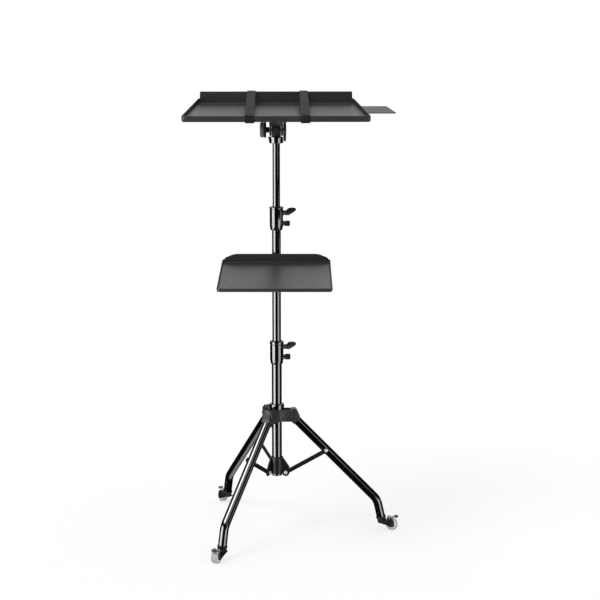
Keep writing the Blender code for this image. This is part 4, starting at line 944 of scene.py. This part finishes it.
# One ring of the tray's walls: at one level, or along the lip, the sloped ends and the back wall
def wall_ring(corners, inset, lip, wall, chamfer, lift, flat):
    arcs = fillet(corners, inset)
    end = arcs[2][-1]
    half = corners[2][0]
    start = 3.3
    shoulder = (half - start - 0.14 * (chamfer - start), lip + 0.35 * (wall - lip))
    slope = ((half - 3.0, lip), (half - start, lip), shoulder, (half - chamfer, wall), (0.0, wall))
    ramp = eased(slope, (0, 0.8, chamfer * 0.1, chamfer * 0.3, 0), 5, False)[1:-1]
    right = []
    for index, (x, height) in enumerate(ramp):
        right.append((min(x, end.x - 0.02 * (index + 1)), end.y, height))
    left = [(-x, y, height) for x, y, height in reversed(right)]
    low_points = [(point.x, point.y, lip) for corner in arcs[:3] for point in corner]
    last_points = [(point.x, point.y, lip) for point in arcs[3]]
    ring = low_points + right + left + last_points
    return [(x, y, lift if flat else height + lift) for x, y, height in ring]


def tray(corners, lip, wall, chamfer, underside):
    rings = []
    for rows, flat in ((FOLD, True), (RIM, False), (INNER_FOLD, True)):
        for inset, rise in rows:
            rings.append(wall_ring(corners, inset, lip, wall, chamfer, underside + rise, flat))
    return solid(rings)


def screw_heads(name, body, places, height, at):
    profile = ((4.0, -0.6), (4.0, 0.0), (3.7, 0.22), (2.2, 0.25), (2.0, -0.5), (0.3, -0.5))
    for number, (x, y) in enumerate(places, start=1):
        item = shifted(turned(profile, 48, False), (x, y, height))
        finish(item, f"{name}_{number}", body, TRAY, at)


UPPER_CORNERS = ((-193.0, -150.0), (193.0, -150.0), (171.0, 150.0), (-171.0, 150.0))
LOWER_CORNERS = rectangle(-115.5, -268.0, 115.5, 0.0)
UPPER_SCREWS = rectangle(-27.0, -27.0, 27.0, 27.0)
LOWER_SCREWS = rectangle(-20.0, -90.0, 20.0, -20.0)
SHEET = 1.5
UPPER_UNDERSIDE = 36.0


def build_upper_tray():
    item = tray(UPPER_CORNERS, 13.0, 28.0, 4.0, UPPER_UNDERSIDE)
    skin(item, "upper_tray", "top_tray", TRAY, at_tray(), sharp=50.0)
    screw_heads("tray_screw", "top_tray", UPPER_SCREWS, UPPER_UNDERSIDE + SHEET, at_tray())


# Webbing strap round the tray, as one closed loop with a flat woven section
STRAP_CORNERS = ((-150.0, 36.0), (150.0, 36.0), (150.0, 64.0), (148.5, 64.0), (-150.0, 49.0))
STRAP_OFFSET = 1.15
STRAP_STEP = 6.0


def strap_path():
    bend = 8
    path = []
    corners = [Vector(corner) for corner in STRAP_CORNERS]
    count = len(corners)
    for index, here in enumerate(corners):
        before = (here - corners[index - 1]).normalized()
        after = (corners[(index + 1) % count] - here).normalized()
        first = Vector((before.y, -before.x))
        last = Vector((after.y, -after.x))
        for step in range(bend + 1):
            normal = first.lerp(last, step / bend).normalized()
            path.append((here + normal * STRAP_OFFSET, normal))
        there = corners[(index + 1) % count]
        steps = max(int((there - here).length / STRAP_STEP), 1)
        for step in range(1, steps):
            path.append((here.lerp(there, step / steps) + last * STRAP_OFFSET, last))
    return path


SECTION = (
    (-9.5, 0.0), (-9.3, 0.5), (-8.7, 0.75), (-4.0, 0.75), (0.0, 0.75), (4.0, 0.75), (8.7, 0.75),
    (9.3, 0.5), (9.5, 0.0), (9.3, -0.5), (8.7, -0.75), (4.0, -0.75), (0.0, -0.75), (-4.0, -0.75),
    (-8.7, -0.75), (-9.3, -0.5),
)


def strap(name, middle):
    path = strap_path()
    lengths = [0.0]
    for index, (point, _) in enumerate(path):
        lengths.append(lengths[-1] + (path[(index + 1) % len(path)][0] - point).length)
    shape = bmesh.new()
    weave = shape.loops.layers.uv.new("weave")
    rows = []
    for point, normal in path:
        ring = [(middle + across, *(point + normal * out)) for across, out in SECTION]
        rows.append([shape.verts.new(Vector(place) * MM) for place in ring])
    count = len(SECTION)
    for index in range(len(path)):
        following = rows[(index + 1) % len(path)]
        for side in range(count):
            other = (side + 1) % count
            corners = (rows[index][side], following[side], following[other], rows[index][other])
            face = shape.faces.new(corners)
            places = ((side, index), (side, index + 1), (other, index + 1), (other, index))
            for loop, (column, row) in zip(face.loops, places):
                loop[weave].uv = (SECTION[column][0], lengths[row])
    bmesh.ops.recalc_face_normals(shape, faces=shape.faces)
    item = placed(shape)
    finish(item, f"{name}_loop", "top_tray", WEBBING, at_tray(), node=name, sharp=60.0)


# Mouse plate and the two rails that hold it under the tray, open towards each other
PLATE_FRONT = 32.0
PLATE_REAR = 146.0


def build_mouse_plate():
    corners = ((117.0, PLATE_FRONT), (257.0, PLATE_FRONT), (243.0, PLATE_REAR), (117.0, PLATE_REAR))
    item = slab(eased(corners, 5.0, 10), 30.0, 32.0, "Z", 0.6, 4)
    skin(item, "mouse_plate", "mouse_plate", TRAY, at_tray())
    rails = (("mouse_rail_front", PLATE_FRONT, 1.0), ("mouse_rail_rear", PLATE_REAR, -1.0))
    for name, edge, inward in rails:
        groove = edge - inward * GAP
        back = groove - inward * 2.0
        mouth = edge + inward * 6.0
        outline = (
            (back, 27.7), (mouth, 27.7), (mouth, 29.7), (groove, 29.7), (groove, 32.3),
            (mouth, 32.3), (mouth, 35.7), (back, 35.7),
        )
        outline = eased(outline, (1.0, 0.5, 0.5, 0.3, 0.3, 0.5, 0.5, 0.8), 4)
        skin(slab(outline, 92.0, 167.0, "X", 0.25, 2), name, "top_tray", STEEL, at_tray())


# Head: round base cup on the upper tube, with a tongue that carries the tilt bolt
CUP_BOTTOM = 856.0
CUP_TOP = CUP_BOTTOM + 14.0
CUP_BORE = 8.3
TILT_AT = (0.0, 0.0, 884.0)
BOLT = 3.0
BOLT_HOLE = 3.3


def head_socket():
    base = CUP_BOTTOM
    corners = (
        (CUP_BORE, base), (15.0, base), (15.6, base + 6.0), (16.8, base + 11.0), (16.8, CUP_TOP),
        (CUP_BORE, CUP_TOP),
    )
    item = turned(eased(corners, (0.4, 1.0, 3.0, 1.5, 0.8, 0), 5), 96)
    cut(item, box((14.6, -18.0, 855.0), (18.0, 18.0, 871.0)))
    joined(item, turned(((9.0, base + 10.3), (9.0, base + 13.4)), 64, False))
    skin(item, "head_socket", "head", GLOSS)
    top = arc((0.0, TILT_AT[2]), 8.4, 0.0, HALF_TURN, 32)
    outline = [(-9.0, 867.0), (9.0, 867.0)] + top
    tongue = applied(slab(outline, -9.8, 9.8, "X", 0.9, 4))
    cut(tongue, pin(BOLT_HOLE, -16.0, 16.0, "X", TILT_AT))
    finish(tongue, "head_tongue", "head", CASTING)


# Yoke under the upper tray: two cheeks that hang from a flange, round below the tilt bolt
CHEEK = 12.5
FLANGE = 38.0


def tilt_block():
    outline = arc((0.0, 0.0), CHEEK, -HALF_TURN, 0.0, 40) + [(CHEEK, 33.0), (-CHEEK, 33.0)]
    item = slab(outline, -14.6, 14.6, "X")
    seat = arc((0.0, 0.0), 8.7, 45.45 * DEG, 117.37 * DEG, 32)
    slot = [(-14.0, -14.0), (14.0, -14.0), (14.0, 6.2)] + seat + [(-4.0, 11.7), (-14.0, 11.7)]
    cut(item, slab(slot, -10.1, 10.1, "X"))
    applied(soften(item, 0.6, 3, 40.0))
    outline = eased(rectangle(-FLANGE, -FLANGE, FLANGE, FLANGE), 6.0, 8)
    joined(item, applied(slab(outline, 31.7, 35.7, "Z", 0.8, 3)))
    cut(item, pin(BOLT_HOLE, -16.0, 16.0, "X"))
    skin(item, "tilt_block", "top_tray", CASTING, at_tray())


# Large round knob at the left, on the bolt: a grey face with a black fluted grip behind it
def tilt_knob():
    profile = (
        (BOLT, 18.8), (BOLT, -14.9), (6.0, -14.9), (6.0, -20.0), (7.0, -21.0), (15.6, -21.0),
        (16.5, -21.6, 1), (16.8, -22.4, 1), (16.8, -25.6, 1), (16.2, -26.3, 1), (15.0, -26.5),
    )
    item = turned(profile, 144, False, "X", fluted(0.5, 24))
    finish(item, "tilt_bolt_grip", "tilt_knob", PLASTIC, at_tray(), node="tilt_bolt")
    corners = (
        (0.3, -26.7), (15.6, -26.7), (16.4, -28.0), (16.2, -31.8), (14.0, -34.2), (9.0, -34.6),
        (8.4, -33.8), (0.3, -33.6),
    )
    outline = eased(corners, (0, 0.8, 1.0, 1.4, 1.6, 0.4, 0.4, 0), 4)
    face = turned(outline, 96, False, "X")
    finish(face, "tilt_bolt_face", "tilt_knob", KNOB_FACE, at_tray())


# Wheel with eight lobes at the right, over the bolt's other end
def tilt_wheel():
    profile = (
        (3.3, 19.4), (3.3, 14.9), (11.0, 14.9), (11.6, 15.3), (23.0, 15.3, 1), (24.4, 15.8, 1),
        (25.0, 16.9, 1), (25.0, 19.2, 1), (24.4, 20.5, 1), (23.0, 21.1, 1), (18.0, 21.1),
        (17.0, 20.4), (10.5, 20.4), (9.8, 21.5), (0.3, 21.5),
    )
    item = turned(profile, 160, False, "X", fluted(1.3, 8))
    skin(item, "tilt_wheel", "tilt_wheel", PLASTIC, at_tray())


def build_head():
    head_socket()
    tilt_block()
    tilt_knob()
    tilt_wheel()
    build_upper_tray()
    strap("strap_left", -54.0)
    strap("strap_right", 60.0)
    build_mouse_plate()


# Lower tray with its liner, ring bracket and clamp knob
RING = (11.8, 15.5)
LINER = (MIDDLE_BORE, 11.5)
CLAMP_AT = 584.8


def build_lower_tray():
    bore, around = LINER
    corners = (
        (bore, 568.0), (14.0, 568.0), (14.0, 571.5), (around, 571.5), (around, 608.0),
        (bore, 608.0),
    )
    liner = turned(eased(corners, (0.3, 0.9, 0.9, 0, 0.8, 0.3), 4), 96)
    skin(liner, "tray_clamp_liner", "tray_liner", PLASTIC)
    bore, face = RING
    corners = rectangle(bore, 571.8, face, 597.8)
    item = turned(eased(corners, (0.3, 0.9, 0.9, 0.3), 4), 96)
    outline = eased(rectangle(-30.0, -110.0, 30.0, 0.0), 6.0, 8)
    plate = applied(slab(outline, -3.3, -0.3, "Z", 0.6, 3))
    moved(plate, LOWER_TRAY_EDGE @ Matrix.Rotation(LOWER_TRAY_LEAN, 4, "X"))
    neck = applied(box((-10.0, -42.0, 580.5), (10.0, -11.9, 598.5), 1.5))
    joined(item, neck, plate)
    cut(item, pin(HOLE, 10.8, 16.5, "Y", (0.0, 0.0, CLAMP_AT)))
    skin(item, "tray_bracket", "tray_carrier", CASTING)
    screw("tray_clamp_knob", "tray_knob", face, around, 10.0, 12.0, "Y", CLAMP_AT)
    floor = tray(LOWER_CORNERS, 8.0, 20.5, 26.0, 0.0)
    skin(floor, "lower_tray", "tray_carrier", TRAY, at_lower_tray(), sharp=50.0)
    screw_heads("lower_tray_screw", "tray_carrier", LOWER_SCREWS, SHEET, at_lower_tray())


# Camera and lamps in metres and radians, floor and cards in millimetres
CAMERA_BACK = 3.612
CAMERA_HEIGHT = 1.178
CAMERA_DOWN = 0.181
CAMERA_PAN = -0.014
WHITE = (1.0, 1.0, 1.0, 1.0)
BACKDROP_LIGHT = 0.78
FLOOR_GREY = 0.97
FLOOR_WHITE_SHARE = 0.7
FLOOR_HALF = 30000.0
CARDS_RADIUS = 6000.0
CARDS_HEIGHTS = (-12000.0, 6000.0)
CARDS_START = -248.0 * DEG
CARDS_END = 68.0 * DEG
PANEL_DISTANCE = 2.5
SUN_PLACE = (-1.2, -1.0, 2.6)

# Lamp panels: azimuth, width, height, radiance, height that they aim at, and elevation
PANELS = {
    "panel_left": (-55.5, 2.07, 2.6, 4.6, 0.15, 0.0),
    "panel_right": (50.0, 1.73, 1.9, 2.3, -0.6, 0.0),
    "panel_over_left": (-72.0, 0.8, 1.1, 2.8, 0.16, 58.0),
    "panel_over_right": (44.0, 0.5, 0.5, 1.4, 0.16, 20.0),
    "panel_over_side": (82.0, 0.7, 0.4, 1.1, 0.16, 6.0),
}


def aimed(item, place, target):
    item.location = place
    item.rotation_euler = (Vector(target) - Vector(place)).to_track_quat("-Z", "Y").to_euler()


def build_camera():
    data = bpy.data.cameras.new("view")
    data.lens = 102.0
    data.sensor_width = 36.0
    data.clip_end = 100.0
    camera = staged("view", data)
    camera.location = (MAST.x, MAST.y - CAMERA_BACK, CAMERA_HEIGHT)
    camera.rotation_euler = (QUARTER - CAMERA_DOWN, 0.0, CAMERA_PAN)
    bpy.context.scene.camera = camera


def panel(name, azimuth, width, height, radiance, middle, elevation):
    data = bpy.data.lights.new(name, "AREA")
    data.shape = "RECTANGLE"
    data.size = width
    data.size_y = height
    data.energy = radiance * width * height * math.pi
    item = staged(name, data)
    level = PANEL_DISTANCE * math.cos(elevation * DEG)
    across = level * math.sin(azimuth * DEG)
    toward = -level * math.cos(azimuth * DEG)
    rise = PANEL_DISTANCE * math.sin(elevation * DEG)
    aimed(item, (MAST.x + across, MAST.y + toward, middle + rise), (MAST.x, MAST.y, middle))
    item.visible_camera = False
    item.visible_diffuse = False
    item.visible_transmission = False


def build_sun():
    data = bpy.data.lights.new("sun", "SUN")
    data.energy = 1.0
    data.angle = 25.0 * DEG
    aimed(staged("sun", data), SUN_PLACE, (0.0, 0.0, 0.0))


# Two shaders mixed by a share, into the tree's output
def mixed(tree, output, share, first, second):
    mix = tree.nodes.new("ShaderNodeMixShader")
    feed(tree, mix, {"Fac": share, 1: first.outputs[0], 2: second.outputs[0]})
    feed(tree, tree.nodes[output], {"Surface": mix.outputs["Shader"]})


# Plain white to the camera and in mirrors, and a dimmer light on the part
def build_world():
    world = bpy.data.worlds.new("backdrop")
    world.use_nodes = True
    tree = world.node_tree
    light = feed(tree, tree.nodes["Background"], {"Color": WHITE, "Strength": BACKDROP_LIGHT})
    white = tree.nodes.new("ShaderNodeBackground")
    feed(tree, white, {"Color": WHITE, "Strength": 1.0})
    path = tree.nodes.new("ShaderNodeLightPath")
    seen = path.outputs["Is Camera Ray"]
    for ray in ("Is Glossy Ray", "Is Transmission Ray"):
        either = tree.nodes.new("ShaderNodeMath")
        either.operation = "MAXIMUM"
        seen = feed(tree, either, {0: seen, 1: path.outputs[ray]}).outputs["Value"]
    mixed(tree, "World Output", seen, light, white)
    bpy.context.scene.world = world


# The camera sees the floor partly as plain white, which leaves its shadows faint
def whitened(made):
    white = made.add("ShaderNodeEmission", {"Color": WHITE, "Strength": 1.0})
    path = made.add("ShaderNodeLightPath", {})
    share = made.math("MULTIPLY", path.outputs["Is Camera Ray"], FLOOR_WHITE_SHARE)
    mixed(made.tree, "Material Output", share, made.shader, white)


def build_floor():
    half = FLOOR_HALF
    floor = slab(rectangle(-half, -half, half, half), -2.0, 0.0, "Z")
    grey = (FLOOR_GREY, FLOOR_GREY, FLOOR_GREY, 1.0)
    floor.name = "floor"
    made = Surface("floor", {"Base Color": grey, "Roughness": 0.9, SPECULAR: 0.0})
    floor.data.materials.append(made.material)
    whitened(made)
    floor.visible_glossy = False


# Black cards stand round the part, open at the back, and are seen only in reflections
def build_cards():
    edge = arc((0.0, 0.0), CARDS_RADIUS, CARDS_START, CARDS_END, 72)
    shape = bmesh.new()
    low, high = (
        [shape.verts.new(Vector((x, y, height)) * MM) for x, y in edge] for height in CARDS_HEIGHTS
    )
    for index in range(len(edge) - 1):
        shape.faces.new((low[index], low[index + 1], high[index + 1], high[index]))
    cards = placed(shape, "cards")
    black = (0.0, 0.0, 0.0, 1.0)
    made = Surface("card_black", {"Base Color": black, "Roughness": 1.0, SPECULAR: 0.0})
    cards.data.materials.append(made.material)
    cards.visible_camera = False
    cards.visible_diffuse = False
    cards.visible_shadow = False
    cards.visible_transmission = False


build_mast()
build_hub()
build_legs()
build_spreader()
build_lower_tray()
build_head()
build_camera()
build_world()
build_floor()
build_cards()
for label, values in PANELS.items():
    panel(label, *values)
build_sun()

bpy.context.scene.view_settings.view_transform = "Standard"
bpy.context.view_layer.update()
